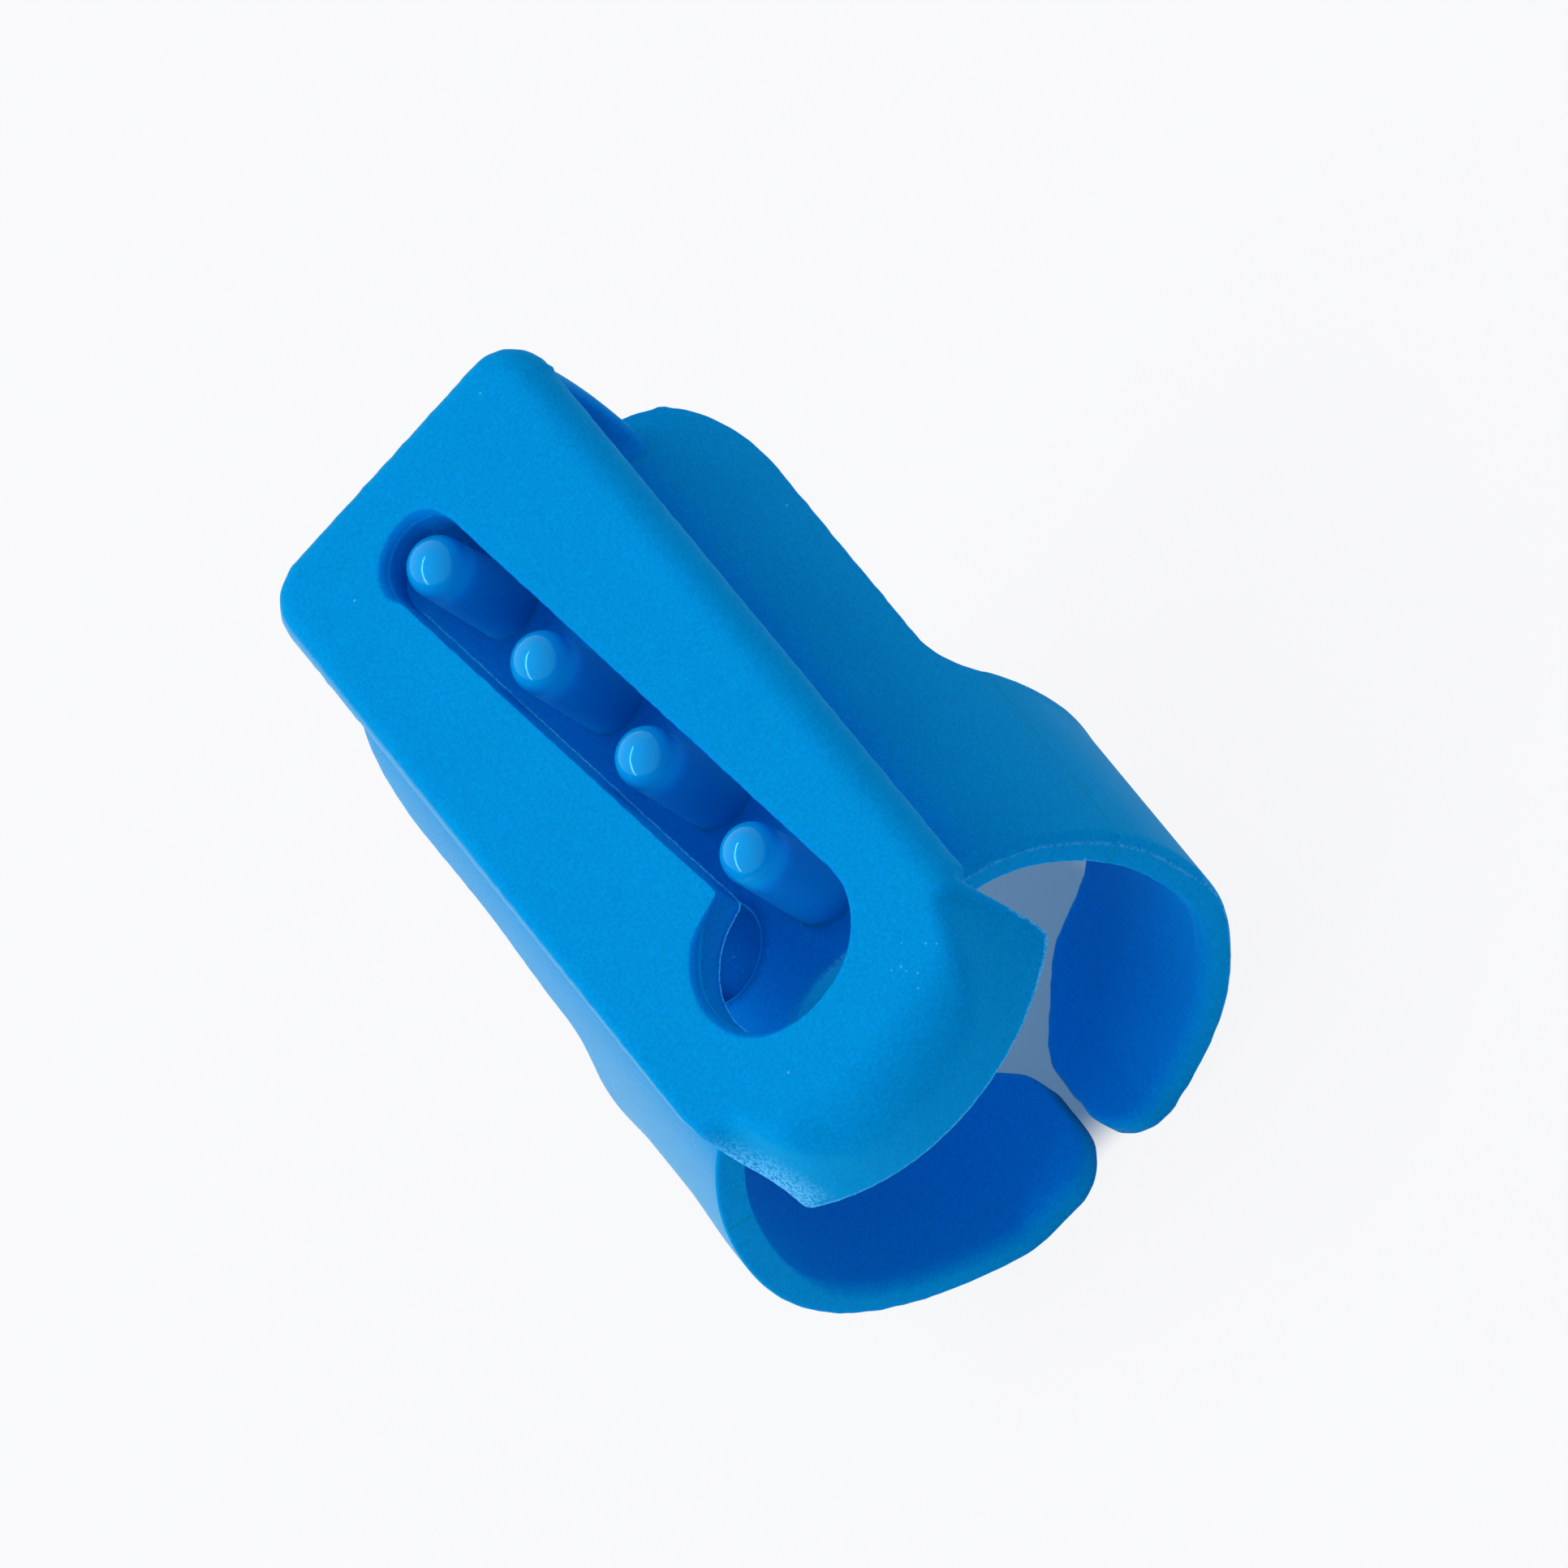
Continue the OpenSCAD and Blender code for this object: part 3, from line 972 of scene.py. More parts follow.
def lid_loop(lid):
    """Flattened outline of lid and nose."""
    far, left, right, near = lid.edge_far, lid.edge_left, lid.edge_right, lid.edge_near
    lip, foot = lid.lip_r, LID_FOOT
    nose = nose_outline(lid)
    x, y = nose.T
    out = np.hypot(x, y)
    turn = np.degrees(np.arctan2(x, -y))
    nose_part = stretch(nose, lip, foot)
    nose_part.top = (lip + (right - lip) * smooth(turn, *RIGHT_ROUND)
                     + (near - lip) * smooth(-turn, *LEFT_ROUND))
    # Painted highlight along the nose's lower edge
    nose_part.highlight_top = LIP_HIGHLIGHT * np.clip((out - HIGHLIGHT_START) / HIGHLIGHT_REACH, 0, 1)
    r, q = lid.corner_right, lid.corner_left
    begin, end = nose[0, 1] + LEFT_JOIN, nose[-1, 1] + STEP
    loop = edge_loop(
        nose_part,
        stretch(line((lid.right, end), (lid.right, lid.far - r), STEP), right, foot),
        stretch(arc((lid.right - r, lid.far - r), (r, r), 0, 90, LID_POINTS), (right, far), foot),
        stretch(line((lid.right - r, lid.far), (q - lid.left, lid.far), STEP), far, foot),
        stretch(arc((q - lid.left, lid.far - q), (q, q), 90, 180, LID_POINTS), (far, left), foot),
        stretch(line((-lid.left, lid.far - q), (-lid.left, begin), STEP), (left, near), foot),
    )
    fold = np.flatnonzero((turn > RIGHT_FOLD[0]) & (turn < RIGHT_FOLD[1]))
    loop.bridges = [(fold[0], fold[-1])]
    # Painted sheen on the left side of the nose
    loop.cast[:len(nose)] = NOSE_SHEEN * smooth(-turn, *SHEEN_TURNS) * smooth(out, *SHEEN_RISE)
    flash_at = (lid.right - FLASH_IN[0], lid.far - r - FLASH_IN[1])
    return nudged(roughened(loop, LID_WANDER, LID_PITCH, LID_SEED), flash_at, *LID_FLASH)


# Slot: turns in degrees over which its edge is soft, at its far end and in the left bay of the exit
END_SOFT = (15, 70)
END_CRISP = (172, 205)
END_REACH = 0.7
BAY_SOFT = (8, 40)
BAY_CRISP = (215, 275)
BAY_END = 250
WALL_BAND = 0.3
SLOT_WANDER = 0.03
EXIT_POINTS = 120
END_POINTS = 40
EXIT_EASE = 0.25


def slot_loop(lid, pegs):
    """Peg slot that opens into the round yarn exit, with the material outside."""
    turn = math.atan2(pegs.pitch_x, pegs.pitch_y)
    r = lid.slot_w / 2
    along = np.array([math.sin(turn), -math.cos(turn)])
    across = np.array([math.cos(turn), math.sin(turn)])
    first = np.array([pegs.first_x, pegs.first_y])
    exit_at = np.array([lid.exit_x, lid.exit_y])
    degrees = math.degrees(turn)
    side = (first - exit_at) @ across - r
    reach = math.sqrt(lid.exit_r ** 2 - side ** 2)
    corner = exit_at + across * side - along * reach
    corner_turn = math.degrees(math.atan2(corner[1] - exit_at[1], corner[0] - exit_at[0]))
    path = np.concatenate([
        line(first - across * r, corner, FINE_STEP),
        arc(exit_at, (lid.exit_r,) * 2, corner_turn, 360 + degrees, EXIT_POINTS),
        line(exit_at + across * lid.exit_r, first + across * r, FINE_STEP),
        arc(first, (r, r), degrees, 180 + degrees, END_POINTS),
        [first - across * r],
    ])
    path = even(eased(path, corner, EXIT_EASE), NOSE_STEP)[::-1]
    soft, crisp = lid.slot_soft, lid.slot_crisp
    end = bearing(path, first)
    far_end = smooth(end, *END_SOFT) * (1 - smooth(end, *END_CRISP))
    far_end = far_end * ((path - first) @ along < END_REACH)
    bay = bearing(path, exit_at)
    left_bay = smooth(bay - corner_turn, *BAY_SOFT) * (1 - smooth(bay, *BAY_CRISP))
    left_bay = left_bay * ((path - corner) @ along > 0)
    loop = edge_loop(stretch(path, crisp, THIN_EDGE))
    # The slot's walls get painted shade
    loop.sheltered = True
    loop.top = crisp + (soft - crisp) * np.maximum(far_end, left_bay)
    in_bay = (bay > corner_turn) & (bay < BAY_END) & (path[:, 1] < corner[1])
    left_wall = ((path - first) @ across < WALL_BAND - r) | in_bay
    loop.fin = lid.slot_fin * left_wall * (1 - far_end)
    # Painted highlight along the slot's fin
    loop.highlight_foot = FIN_HIGHLIGHT * left_wall * (1 - far_end)
    return roughened(loop, SLOT_WANDER, LID_PITCH, SLOT_SEED)


# Finish

# Shares of a dot's radius between which it fades out
DOT_EDGE = (0.6, 1.1)


class Nodes:
    """Small helper that adds and links shader nodes."""

    def __init__(self, tree):
        self.tree = tree

    def put(self, node, inputs):
        """Sets or links a node's inputs."""
        for key, value in inputs.items():
            if isinstance(value, bpy.types.NodeSocket):
                self.tree.links.new(value, node.inputs[key])
            else:
                node.inputs[key].default_value = value

    def add(self, kind, inputs=None, **settings):
        """Makes a node with its settings and inputs."""
        node = self.tree.nodes.new(kind)
        for key, value in settings.items():
            setattr(node, key, value)
        self.put(node, inputs or {})
        return node

    def reckon(self, operation, first, second):
        """A product or other reckoning with two numbers."""
        return self.add("ShaderNodeMath", {0: first, 1: second}, operation=operation).outputs["Value"]

    def vector(self, operation, *values):
        """The outputs of a reckoning with vectors."""
        return self.add("ShaderNodeVectorMath", dict(enumerate(values)), operation=operation).outputs

    def ramp(self, value, start, end, low=0.0, high=1.0, curve="LINEAR"):
        """Goes from low to high while a value goes from start to end."""
        inputs = {"Value": value, "From Min": start, "From Max": end, "To Min": low, "To Max": high}
        return self.add("ShaderNodeMapRange", inputs, interpolation_type=curve).outputs["Result"]

    def noise(self, place, scale, detail):
        """A cloudy pattern."""
        inputs = {"Vector": place, "Scale": scale, "Detail": detail}
        return self.add("ShaderNodeTexNoise", inputs).outputs["Fac"]

    def tint(self, share, plain, other, blend="MIX"):
        """A mix of two colours."""
        inputs = {0: share, 6: plain, 7: other}
        return self.add("ShaderNodeMix", inputs, data_type="RGBA", blend_type=blend).outputs[2]

    def dots(self, place, scale, radius, share):
        """Small round dots in a share of the cells of a scattered pattern."""
        cells = self.add("ShaderNodeTexVoronoi", {"Vector": place, "Scale": scale}).outputs
        inner, outer = [radius * share_of for share_of in DOT_EDGE]
        near = self.ramp(cells["Distance"], inner, outer, 1.0, 0.0)
        pick = self.add("ShaderNodeSeparateColor", {"Color": cells["Color"]}).outputs["Red"]
        return self.reckon("MULTIPLY", near, self.reckon("LESS_THAN", pick, share))

    def seen_directly(self):
        """One for light that comes straight, mirrored or through glass to the eye, else zero."""
        path = self.add("ShaderNodeLightPath").outputs
        seen = self.reckon("MAXIMUM", path["Is Camera Ray"], path["Is Glossy Ray"])
        return self.reckon("MAXIMUM", seen, path["Is Transmission Ray"])


def rgba(colour_value, gain=1.0):
    """A colour for a shader socket, a little lighter or darker."""
    return tuple(min(1.0, c * gain) for c in colour_value) + (1.0,)


# Two finishes of the same plastic
MATTE = {"grain": 9000.0, "tooth": 0.2, "specks": 0.2, "shine_and_painted_light": 0.8, "bump": 0.35, "specular": 0.01,
         "side_sheen": 0.33, "polish": 0.0}
GLOSS = {"grain": 6000.0, "tooth": 0.05, "specks": 0.02, "shine_and_painted_light": 0.0, "bump": 0.02, "specular": 0.02,
         "side_sheen": 0.0, "polish": 0.5}
DULL = 0.5
HAZE = 0.04
MOTTLE = 0.04
CLOUD = (260.0, 3.0)
GRAIN_DETAIL = 2.0
GRAIN_DEPTH = 0.03 * MM
GRAIN_SPAN = (0.3, 0.7)
PATCHY_SPAN = (0.35, 0.6)
SPECULAR_TINT = (0.2, 0.95, 1.0, 1.0)

# Light that goes into the plastic and comes out again
GLOW = 0.5
GLOW_RADIUS = (0.1, 0.45, 1.0)
GLOW_SCALE = 0.5 * MM

# Pale specks and scuffs: scale and radius of their cells, and where the scuffed patch lies and fades
SPECKS = (700.0, 0.045)
SCUFFS = (3200.0, 0.22)
SPECK_LEVEL = 0.55
SCUFF_AT = (3.2 * MM, -15.05 * MM, 26.2 * MM)
SCUFF_REACH = (0.5 * MM, 1.6 * MM, 0.45, 0.0)

# Painted sheen on the side that faces the lamp: its direction, how close a face has to lean to it, and
# where it starts along Y
SHEEN_SIDE = (-0.93, 0.2, 0.31)
SHEEN_LEAN = (0.84, 0.97)
SHEEN_FROM = (-14.4 * MM, -13.4 * MM)


def plastic(name, base, colours, rough, finish):
    """Moulded plastic: faint mottling, fine grain and pale specks; painted highlights and sheen make
    places paler, painted shade makes sheltered places darker, and the pegs' domes are polished.
    """
    material = bpy.data.materials.new(name)
    material.use_nodes = True
    nodes = Nodes(material.node_tree)
    shader = material.node_tree.nodes["Principled BSDF"]
    at = nodes.add("ShaderNodeTexCoord").outputs
    place = at["Object"]
    painted_light_and_polish = nodes.add("ShaderNodeAttribute", attribute_name="painted_light_and_polish").outputs["Fac"]
    unshaded = nodes.ramp(painted_light_and_polish, SHELTER_SHADE, 0.0)
    cloud = nodes.noise(place, *CLOUD)
    fine = nodes.noise(place, finish["grain"], GRAIN_DETAIL)
    shade = nodes.tint(cloud, rgba(base, 1 - MOTTLE), rgba(base, 1 + MOTTLE))
    # Painted shade: the deep colour in sheltered places, and the darker pit colour in the dimple and low
    # on the pegs
    low = nodes.tint(nodes.ramp(painted_light_and_polish, PIT_SHADE, SHELTER_SHADE), rgba(colours.pit), rgba(colours.deep))
    shade = nodes.tint(unshaded, low, shade)
    tooth = nodes.ramp(fine, *GRAIN_SPAN)
    grain = nodes.tint(tooth, rgba((1 - finish["tooth"],) * 3), rgba((1.0,) * 3))
    shade = nodes.tint(1.0, shade, grain, "MULTIPLY")
    patch = nodes.ramp(nodes.vector("DISTANCE", place, SCUFF_AT)["Value"], *SCUFF_REACH)
    speck = nodes.reckon("MAXIMUM", nodes.dots(place, *SPECKS, finish["specks"]),
                         nodes.dots(place, *SCUFFS, patch))
    speck = nodes.reckon("MULTIPLY", speck, SPECK_LEVEL)
    # Painted highlights along edges and painted sheen on the nose, broken up by the grain
    patchy = nodes.ramp(fine, *PATCHY_SPAN, 0.0, finish["shine_and_painted_light"])
    shine_and_painted_light = nodes.reckon("MULTIPLY", nodes.reckon("MAXIMUM", painted_light_and_polish, 0.0), patchy)
    shade = nodes.tint(nodes.reckon("MAXIMUM", shine_and_painted_light, speck), shade, rgba(colours.scuffs_highlights_and_sheen))
    # Painted sheen on faces that lean to the lamp on the left, left out where there is painted shade
    lean = nodes.vector("DOT_PRODUCT", at["Normal"], SHEEN_SIDE)["Value"]
    cast = nodes.ramp(lean, *SHEEN_LEAN, 0.0, finish["side_sheen"], curve="SMOOTHSTEP")
    cast = nodes.reckon("MULTIPLY", cast, unshaded)
    along = nodes.add("ShaderNodeSeparateXYZ", {"Vector": place}).outputs["Y"]
    cast = nodes.reckon("MULTIPLY", cast, nodes.ramp(along, *SHEEN_FROM))
    relief = {"Height": fine, "Strength": finish["bump"], "Distance": GRAIN_DEPTH}
    bump = nodes.add("ShaderNodeBump", relief)
    haze = nodes.ramp(fine, *GRAIN_SPAN, rough - HAZE, rough + HAZE)
    nodes.put(shader, {
        "Base Color": nodes.tint(cast, shade, rgba(colours.side_sheen)),
        "Normal": bump.outputs["Normal"],
        "Roughness": nodes.ramp(painted_light_and_polish, 0.0, 1.0, DULL, haze),
        "Specular IOR Level": finish["specular"],
        "Specular Tint": SPECULAR_TINT,
        "Subsurface Weight": GLOW,
        "Subsurface Radius": GLOW_RADIUS,
        "Subsurface Scale": GLOW_SCALE,
    })
    if finish["polish"]:
        shine = nodes.ramp(painted_light_and_polish, 0.0, 1.0, finish["specular"], finish["polish"])
        nodes.put(shader, {"Specular IOR Level": shine})
    return material


def matte_plastic(context):
    """The body's matte plastic, made once."""
    finish = context.scene.yarn_guide.finish
    found = bpy.data.materials.get("blue_matte_plastic")
    return found or plastic("blue_matte_plastic", finish.body, finish, finish.roughness, MATTE)


def gloss_plastic(context):
    """The pegs' polished plastic, made once."""
    finish = context.scene.yarn_guide.finish
    found = bpy.data.materials.get("blue_gloss_plastic")
    return found or plastic("blue_gloss_plastic", finish.peg, finish, finish.gloss, GLOSS)


# Operators

# Section of the dimple in mm: steps out and down at its rim, in and up at its floor; then points around
PIT_TOP = ((0.12, 0), (0.04, 0.02), (0, 0.09))
PIT_FLOOR = ((0.02, 0.25), (0.09, 0.07), (0.28, 0))
PIT_AROUND = 48

# Pegs: how many, points around, rows of each part, where a dome is polished, and the sunk foot in mm
PEG_COUNT = 4
PEG_AROUND = 48
DOME_ROWS = 16
SHAFT_ROWS = 14
FILLET_ROWS = 6
DOME_TURNS = (86, 0)
FILLET_TURNS = (15, 85)
DOME_POLISH = (math.radians(8), math.radians(32))
FOOT_SINK = 0.02
FOOT_DEPTH = 0.15

# Hinge strap: rounded share of its half width, points across and over a side, rows, sunk depth and bow
STRAP_ROUND = 0.04
STRAP_ACROSS = 44
STRAP_TIP = 9
STRAP_ROWS = 56
STRAP_SINK = 0.25
BOW_SKEW = 0.8
INNER_SIDE = -0.5


class YARN_OT_saddle(bpy.types.Operator):
    """Make the half-round saddle with its dimple"""
    bl_idname = "yarn_guide.saddle"
    bl_label = "Saddle"

    def execute(self, context):
        ring = sizes(context.scene.yarn_guide.ring)
        r, deep = ring.dimple_r, ring.dimple_depth
        pit = [(r + out, down) for out, down in PIT_TOP]
        pit += [(r - within, deep - up) for within, up in PIT_FLOOR]
        pit.append((r / 2, deep))
        centre = (ring.dimple_x, ring.dimple_y)
        form = Moulding()
        pits = [(centre, pit, PIT_AROUND)]
        plate(form, ring_place(ring), ring.wall, [saddle_loop(ring)], STEP, pits, under_lid)
        item = form.piece("saddle_shell", matte_plastic(context))
        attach(item, "base")
        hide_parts("saddle")
        return {"FINISHED"}


class YARN_OT_arms(bpy.types.Operator):
    """Make the two ring arms"""
    bl_idname = "yarn_guide.arms"
    bl_label = "Ring arms"

    def execute(self, context):
        ring = sizes(context.scene.yarn_guide.ring)
        for side, name in ((1, "right"), (-1, "left")):
            form = Moulding()
            plate(form, ring_place(ring, side), ring.wall, [arm_loop(ring, side)], STEP)
            item = form.piece("ring_arm_" + name, matte_plastic(context))
            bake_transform(item)
            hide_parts("arm_" + name)
        return {"FINISHED"}


class YARN_OT_pegs(bpy.types.Operator):
    """Make the row of domed pegs"""
    bl_idname = "yarn_guide.pegs"
    bl_label = "Pegs"

    def execute(self, context):
        settings = context.scene.yarn_guide
        ring, lid, pegs = sizes(settings.ring), sizes(settings.lid), sizes(settings.pegs)
        around = np.linspace(0, 2 * math.pi, PEG_AROUND, endpoint=False)
        circle = np.stack([np.cos(around), np.sin(around)], 1)
        for i in range(PEG_COUNT):
            centre = np.array([pegs.first_x + i * pegs.pitch_x,
                               ring.near_y + pegs.first_y - i * pegs.pitch_y])
            form = self.peg(centre, circle, ring, lid, pegs)
            item = form.piece(f"peg_dome_{i + 1}", gloss_plastic(context))
            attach(item, "base")
            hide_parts(f"peg_{i + 1}")
        return {"FINISHED"}

    def peg(self, centre, circle, ring, lid, pegs):
        """One peg: dome, shaft and fillet at the saddle, then a short sunk foot."""
        form = Moulding()

        def level(radius, height, shine_and_painted_light):
            points = np.column_stack([centre + radius * circle, np.broadcast_to(height, len(circle))])
            return form.add(on_lid(points, lid), shine_and_painted_light)

        rows = []
        for turn in np.radians(np.linspace(*DOME_TURNS, DOME_ROWS)):
            height = -pegs.dome_drop + pegs.radius * math.sin(turn)
            rows.append(level(pegs.radius * math.cos(turn), height, smooth(turn, *DOME_POLISH)))
        foot = self.foot_depth(centre, ring, lid)
        for height in np.linspace(-pegs.dome_drop, foot + pegs.foot_r, SHAFT_ROWS)[1:]:
            share = (height + pegs.dome_drop) / (foot + pegs.dome_drop)
            depth = -pegs.dome_drop - height
            # The shaft and fillet get painted shade below the dome
            shine_and_painted_light = PEG_SHAFT * smooth(depth, 0, pegs.shelter)
            rows.append(level(pegs.radius + pegs.draft * share, height, shine_and_painted_light))
        for turn in np.radians(np.linspace(*FILLET_TURNS, FILLET_ROWS)):
            radius = pegs.radius + pegs.draft + pegs.foot_r * (1 - math.cos(turn))
            height = np.array([self.foot_depth(p, ring, lid) for p in centre + radius * circle])
            height = height + pegs.foot_r * (1 - math.sin(turn)) - FOOT_SINK
            rows.append(level(radius, height, PEG_SHAFT))
        rows.append(level(radius, height - FOOT_DEPTH, PEG_SHAFT))
        form.skin(rows)
        top = form.add(on_lid([[*centre, -pegs.dome_drop + pegs.radius]], lid), 1.0)[0]
        form.fan(rows[0], top)
        under = form.add(on_lid([[*centre, float(np.mean(height)) - FOOT_DEPTH]], lid))[0]
        form.fan(rows[-1], under)
        return form

    @staticmethod
    def foot_depth(point, ring, lid):
        """Depth below the lid top at which a line through a lid point meets the saddle."""
        cos, sin = math.cos(lid.cant), math.sin(lid.cant)
        x0 = point[0] * cos
        z0 = lid.top + point[0] * sin - ring.axis_h
        half = -x0 * sin + z0 * cos
        rest = x0 * x0 + z0 * z0 - ring.outer_r ** 2
        return -(half - math.sqrt(half * half - rest))


class YARN_OT_strap(bpy.types.Operator):
    """Make the living hinge, one bowed strap"""
    bl_idname = "yarn_guide.strap"
    bl_label = "Hinge strap"

    def execute(self, context):
        settings = context.scene.yarn_guide
        ring, lid, strap = sizes(settings.ring), sizes(settings.lid), sizes(settings.strap)
        face_y = ring.near_y + ring.saddle_len - strap.inset
        edge = STRAP_ROUND
        across = np.linspace(edge - 1, 1 - edge, STRAP_ACROSS)
        turns = np.radians(np.linspace(90, -90, STRAP_TIP)[1:-1])
        tip = np.stack([1 - edge + edge * np.cos(turns), np.sin(turns)], 1)
        outer = np.stack([across, np.ones(len(across))], 1)
        inner = np.stack([across[::-1], -np.ones(len(across))], 1)
        loop = np.concatenate([outer, tip, inner, -tip])
        # The strap's inner side gets painted shade
        shine_and_painted_light = np.where(loop[:, 1] < 0, SHELTER_SHADE, 0.0)
        form = Moulding()
        rows = []
        for share in np.linspace(0, 1, STRAP_ROWS):
            rows.append(form.add(self.level(loop, share, face_y, ring, lid, strap), shine_and_painted_light))
        form.skin(rows)
        count = len(loop) // 2
        for row in (rows[0], rows[-1]):
            first, second = row[:count], row[count:][::-1]
            for i in range(count - 1):
                form.faces.append((first[i], first[i + 1], second[i + 1], second[i]))
        item = form.piece("hinge_strap", matte_plastic(context))
        above = strap.fold_reach - strap.fold_drop
        below = -strap.fold_reach - strap.fold_drop
        below_fold, above_fold = on_lid([[0, face_y, below], [0, face_y, above]], lid) * MM
        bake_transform(item)
        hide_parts("strap_lower", "strap_upper")
        return {"FINISHED"}

    @staticmethod
    def level(loop, share, face_y, ring, lid, strap):
        """The strap's outline at a share of its height: bowed outwards, filleted inside at both ends."""
        share_x, side = loop.T
        left = strap.left + strap.left_foot * (1 - share) ** 2
        x = np.where(share_x > 0, share_x * strap.right, share_x * left)
        foot = ring.axis_h + np.sqrt(ring.outer_r ** 2 - x ** 2) - STRAP_SINK
        top = lid.top + x * math.tan(lid.cant) - lid.thick + STRAP_SINK
        height = foot + (top - foot) * share
        near = np.minimum(height - foot, top - height) - STRAP_SINK
        reach = np.clip(1 - near / strap.fillet, 0, 1)
        flare = strap.fillet * (1 - np.sqrt(1 - reach ** 2))
        bow = strap.bow * math.sin(math.pi * share ** BOW_SKEW)
        middle = face_y - strap.thick / 2 + bow
        depth = side * (strap.thick / 2 + flare * (side < INNER_SIDE))
        return np.stack([x, middle + depth, height], 1)


class YARN_OT_lid(bpy.types.Operator):
    """Make the slotted lid with its turned-down nose"""
    bl_idname = "yarn_guide.lid"
    bl_label = "Lid"

    def execute(self, context):
        settings = context.scene.yarn_guide
        ring, lid, pegs = sizes(settings.ring), sizes(settings.lid), sizes(settings.pegs)
        form = Moulding()
        loops = [lid_loop(lid), slot_loop(lid, pegs)]
        plate(form, lid_place(lid, ring.near_y), lid.thick, loops, LID_STEP, top_painted_light=nose_sheen(lid))
        item = form.piece("lid_plate", matte_plastic(context))
        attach(item, "lid")
        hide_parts("lid", "nose")
        return {"FINISHED"}


# Camera: width of its sensor in mm, and the range it sees in metres
SENSOR_WIDTH = 36
CLIP = (0.01, 100)

# Studio: a strip lamp on the left, and a pale dome that dims towards the floor and a little overhead
STRIP_LAMP = {"toward": (-0.688, 0.062, 0.723), "along": (0.615, 0.58, 0.536), "distance": 0.45,
              "size": (0.9, 0.042), "power": 1.6, "tone": (1.0, 1.0, 0.94)}
DOME_COLOUR = (0.76, 0.86, 1.0, 1.0)
DOME_RISE = (0.18, 0.62, 0.05, 1.02)
DOME_FALL = (0.65, 1.0, 0.0, 0.5)
WHITE = (1.0, 1.0, 1.0, 1.0)

# Floor: just below the part, with a painted shadow inside the ring, its half sizes and edge, and the
# floor's own light
FLOOR_DROP = -0.02 * MM
FLOOR_CLOUD = (60.0, 2.0)
FLOOR_MOTTLE = 0.005
FLOOR_ROUGH = 0.9
SHADOW_SIZE = (7.6 * MM, 6.6 * MM)
SHADOW_EDGE = (0.6, 1.35)
PAPER_LIGHT = (0.85, 0.94)


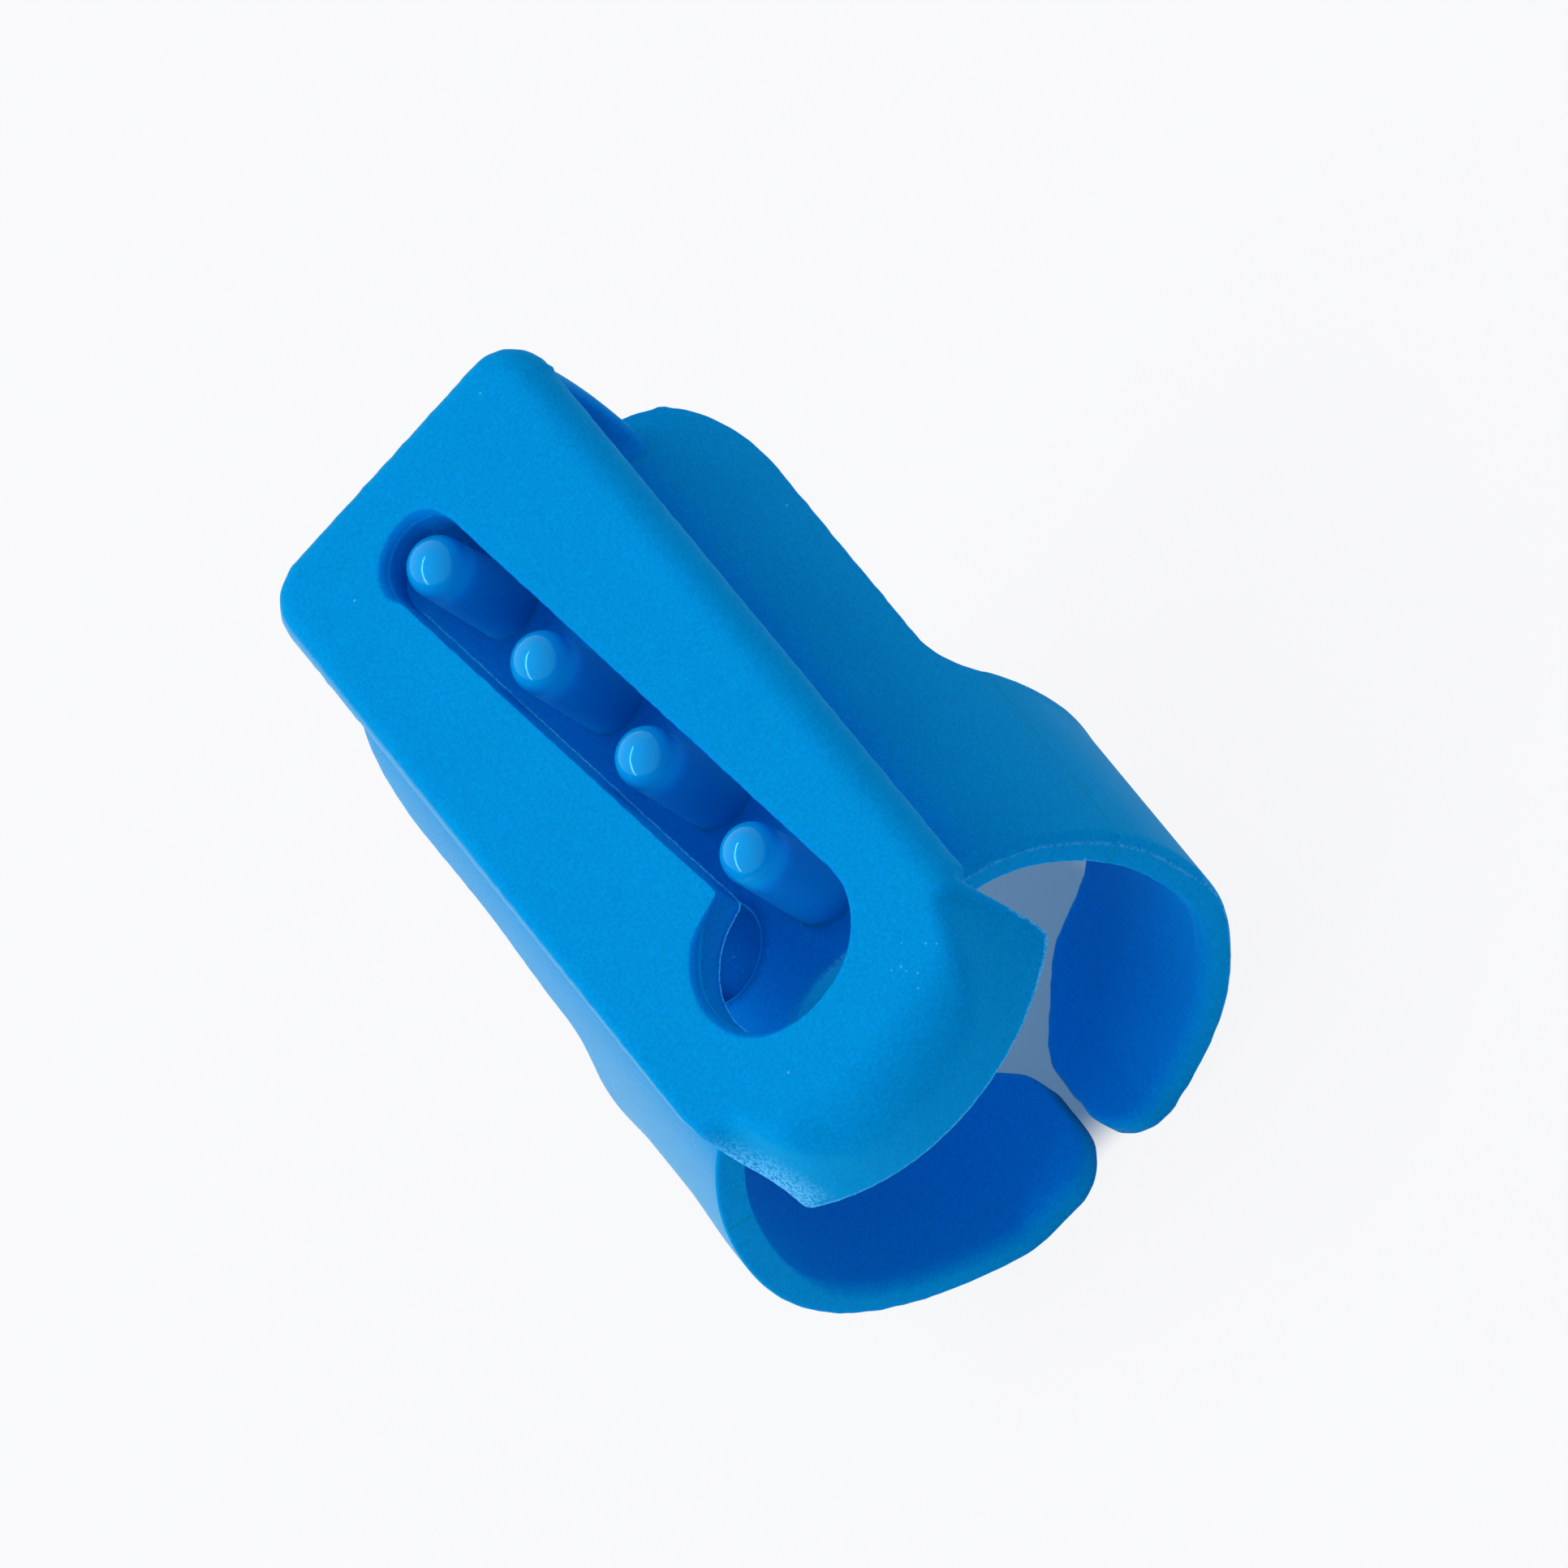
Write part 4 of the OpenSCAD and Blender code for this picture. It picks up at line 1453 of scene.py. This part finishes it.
class YARN_OT_stage(bpy.types.Operator):
    """Make the floor, the lights and the camera"""
    bl_idname = "yarn_guide.stage"
    bl_label = "Stage"

    def execute(self, context):
        scene = context.scene
        stage, finish = scene.yarn_guide.stage, scene.yarn_guide.finish
        self.camera(scene, stage)
        self.floor(scene, stage, finish)
        self.world(scene)
        self.lamp(scene, stage, "window_strip", **STRIP_LAMP)
        scene.view_settings.view_transform = "Standard"
        return {"FINISHED"}

    @staticmethod
    def camera(scene, stage):
        """Adds the camera that was fitted to the photo."""
        data = bpy.data.cameras.new("camera")
        cam = bpy.data.objects.new("camera", data)
        scene.collection.objects.link(cam)
        a, e, r = stage.azimuth, stage.elevation, stage.roll
        back = Vector((math.sin(a) * math.cos(e), -math.cos(a) * math.cos(e), math.sin(e)))
        level = Vector((math.cos(a), math.sin(a), 0))
        steep = back.cross(level)
        right = level * math.cos(r) + steep * math.sin(r)
        up = back.cross(right)
        turn = Matrix((right, up, back)).transposed().to_4x4()
        cam.matrix_world = Matrix.Translation(Vector(stage.aim) + back * stage.distance) @ turn
        data.sensor_width = SENSOR_WIDTH
        data.lens = data.sensor_width * stage.distance / stage.span
        data.clip_start, data.clip_end = CLIP
        scene.camera = cam

    @staticmethod
    def floor(scene, stage, finish):
        """Adds the pale floor, with a painted shadow inside the ring."""
        half = stage.floor_size / 2
        corners = [(half * x, half * y, FLOOR_DROP) for x, y in ((-1, -1), (1, -1), (1, 1), (-1, 1))]
        mesh = bpy.data.meshes.new("floor")
        mesh.from_pydata(corners, [], [(0, 1, 2, 3)])
        floor = bpy.data.objects.new("floor", mesh)
        scene.collection.objects.link(floor)
        material = bpy.data.materials.new("pale_floor")
        material.use_nodes = True
        nodes = Nodes(material.node_tree)
        shader = material.node_tree.nodes["Principled BSDF"]
        place = nodes.add("ShaderNodeTexCoord").outputs["Object"]
        plain = nodes.tint(nodes.noise(place, *FLOOR_CLOUD), rgba(finish.floor, 1 - FLOOR_MOTTLE),
                           rgba(finish.floor, 1 + FLOOR_MOTTLE))
        # Painted shadow: a darker floor colour and a dark emission colour inside the ring
        shares = (1 / SHADOW_SIZE[0], 1 / SHADOW_SIZE[1], 0)
        scaled = nodes.vector("MULTIPLY", place, shares)["Vector"]
        squared = nodes.vector("MULTIPLY", scaled, scaled)["Vector"]
        clear = nodes.ramp(nodes.vector("LENGTH", squared)["Value"], *SHADOW_EDGE, curve="SMOOTHSTEP")
        nodes.put(shader, {"Base Color": nodes.tint(clear, rgba(finish.shade), plain),
                           "Roughness": FLOOR_ROUGH, "Specular IOR Level": 0.0})
        light = nodes.ramp(clear, 0.0, 1.0, *PAPER_LIGHT)
        share = nodes.reckon("MULTIPLY", light, nodes.seen_directly())
        paper = nodes.tint(clear, rgba(finish.painted_shadow), rgba(finish.floor))
        sheet = nodes.add("ShaderNodeEmission", {"Color": paper, "Strength": 1.0})
        mix = nodes.add("ShaderNodeMixShader", {0: share, 1: shader.outputs["BSDF"],
                                                2: sheet.outputs["Emission"]})
        nodes.put(material.node_tree.nodes["Material Output"], {"Surface": mix.outputs["Shader"]})
        mesh.materials.append(material)

    @staticmethod
    def world(scene):
        """Adds the dome of light, which the eye sees as plain white."""
        world = bpy.data.worlds.new("studio")
        scene.world = world
        world.use_nodes = True
        nodes = Nodes(world.node_tree)
        world.node_tree.nodes.clear()
        place = nodes.add("ShaderNodeTexCoord").outputs["Generated"]
        height = nodes.add("ShaderNodeSeparateXYZ", {"Vector": place}).outputs["Z"]
        rise = nodes.ramp(height, *DOME_RISE, curve="SMOOTHSTEP")
        fall = nodes.ramp(height, *DOME_FALL, curve="SMOOTHSTEP")
        level = nodes.reckon("SUBTRACT", rise, fall)
        dome = nodes.add("ShaderNodeBackground", {"Color": DOME_COLOUR, "Strength": level})
        white = nodes.add("ShaderNodeBackground", {"Color": WHITE, "Strength": 1.0})
        mix = nodes.add("ShaderNodeMixShader", {0: nodes.seen_directly(), 1: dome.outputs["Background"],
                                                2: white.outputs["Background"]})
        nodes.add("ShaderNodeOutputWorld", {"Surface": mix.outputs["Shader"]})

    @staticmethod
    def lamp(scene, stage, name, toward, along, distance, size, power, tone):
        """Adds a lamp that faces the aim point, with its long side along a line."""
        data = bpy.data.lights.new(name, "AREA")
        data.shape = "RECTANGLE"
        data.size, data.size_y = size
        data.energy = power
        data.color = tone
        lamp = bpy.data.objects.new(name, data)
        back = Vector(toward).normalized()
        wide = Vector(along)
        wide = (wide - back * wide.dot(back)).normalized()
        turn = Matrix((wide, back.cross(wide), back)).transposed().to_4x4()
        lamp.matrix_world = Matrix.Translation(Vector(stage.aim) + back * distance) @ turn
        scene.collection.objects.link(lamp)


class YARN_PT_panel(bpy.types.Panel):
    """Lists the pieces and their settings"""
    bl_idname = "YARN_PT_panel"
    bl_label = "Yarn guide"
    bl_space_type = "VIEW_3D"
    bl_region_type = "UI"
    bl_category = "Yarn guide"

    def draw(self, context):
        for operator in OPERATORS:
            self.layout.operator(operator.bl_idname)
        settings = context.scene.yarn_guide
        for group in GuideSettings.__annotations__:
            box = self.layout.box()
            box.label(text=group.capitalize())
            part = getattr(settings, group)
            for key in part.__annotations__:
                box.prop(part, key)


GROUPS = (RingSizes, LidSizes, PegSizes, StrapSizes, Finish, StageSizes, GuideSettings)
OPERATORS = (YARN_OT_stage, YARN_OT_saddle, YARN_OT_arms, YARN_OT_pegs, YARN_OT_strap, YARN_OT_lid)
CLASSES = (*GROUPS, *OPERATORS, YARN_PT_panel)


def register():
    for item in CLASSES:
        bpy.utils.register_class(item)
    bpy.types.Scene.yarn_guide = PointerProperty(type=GuideSettings)


def unregister():
    del bpy.types.Scene.yarn_guide
    for item in reversed(CLASSES):
        bpy.utils.unregister_class(item)


def main():
    register()
    for operator in OPERATORS:
        group, name = operator.bl_idname.split(".")
        getattr(getattr(bpy.ops, group), name)()


if __name__ == "__main__":
    main()
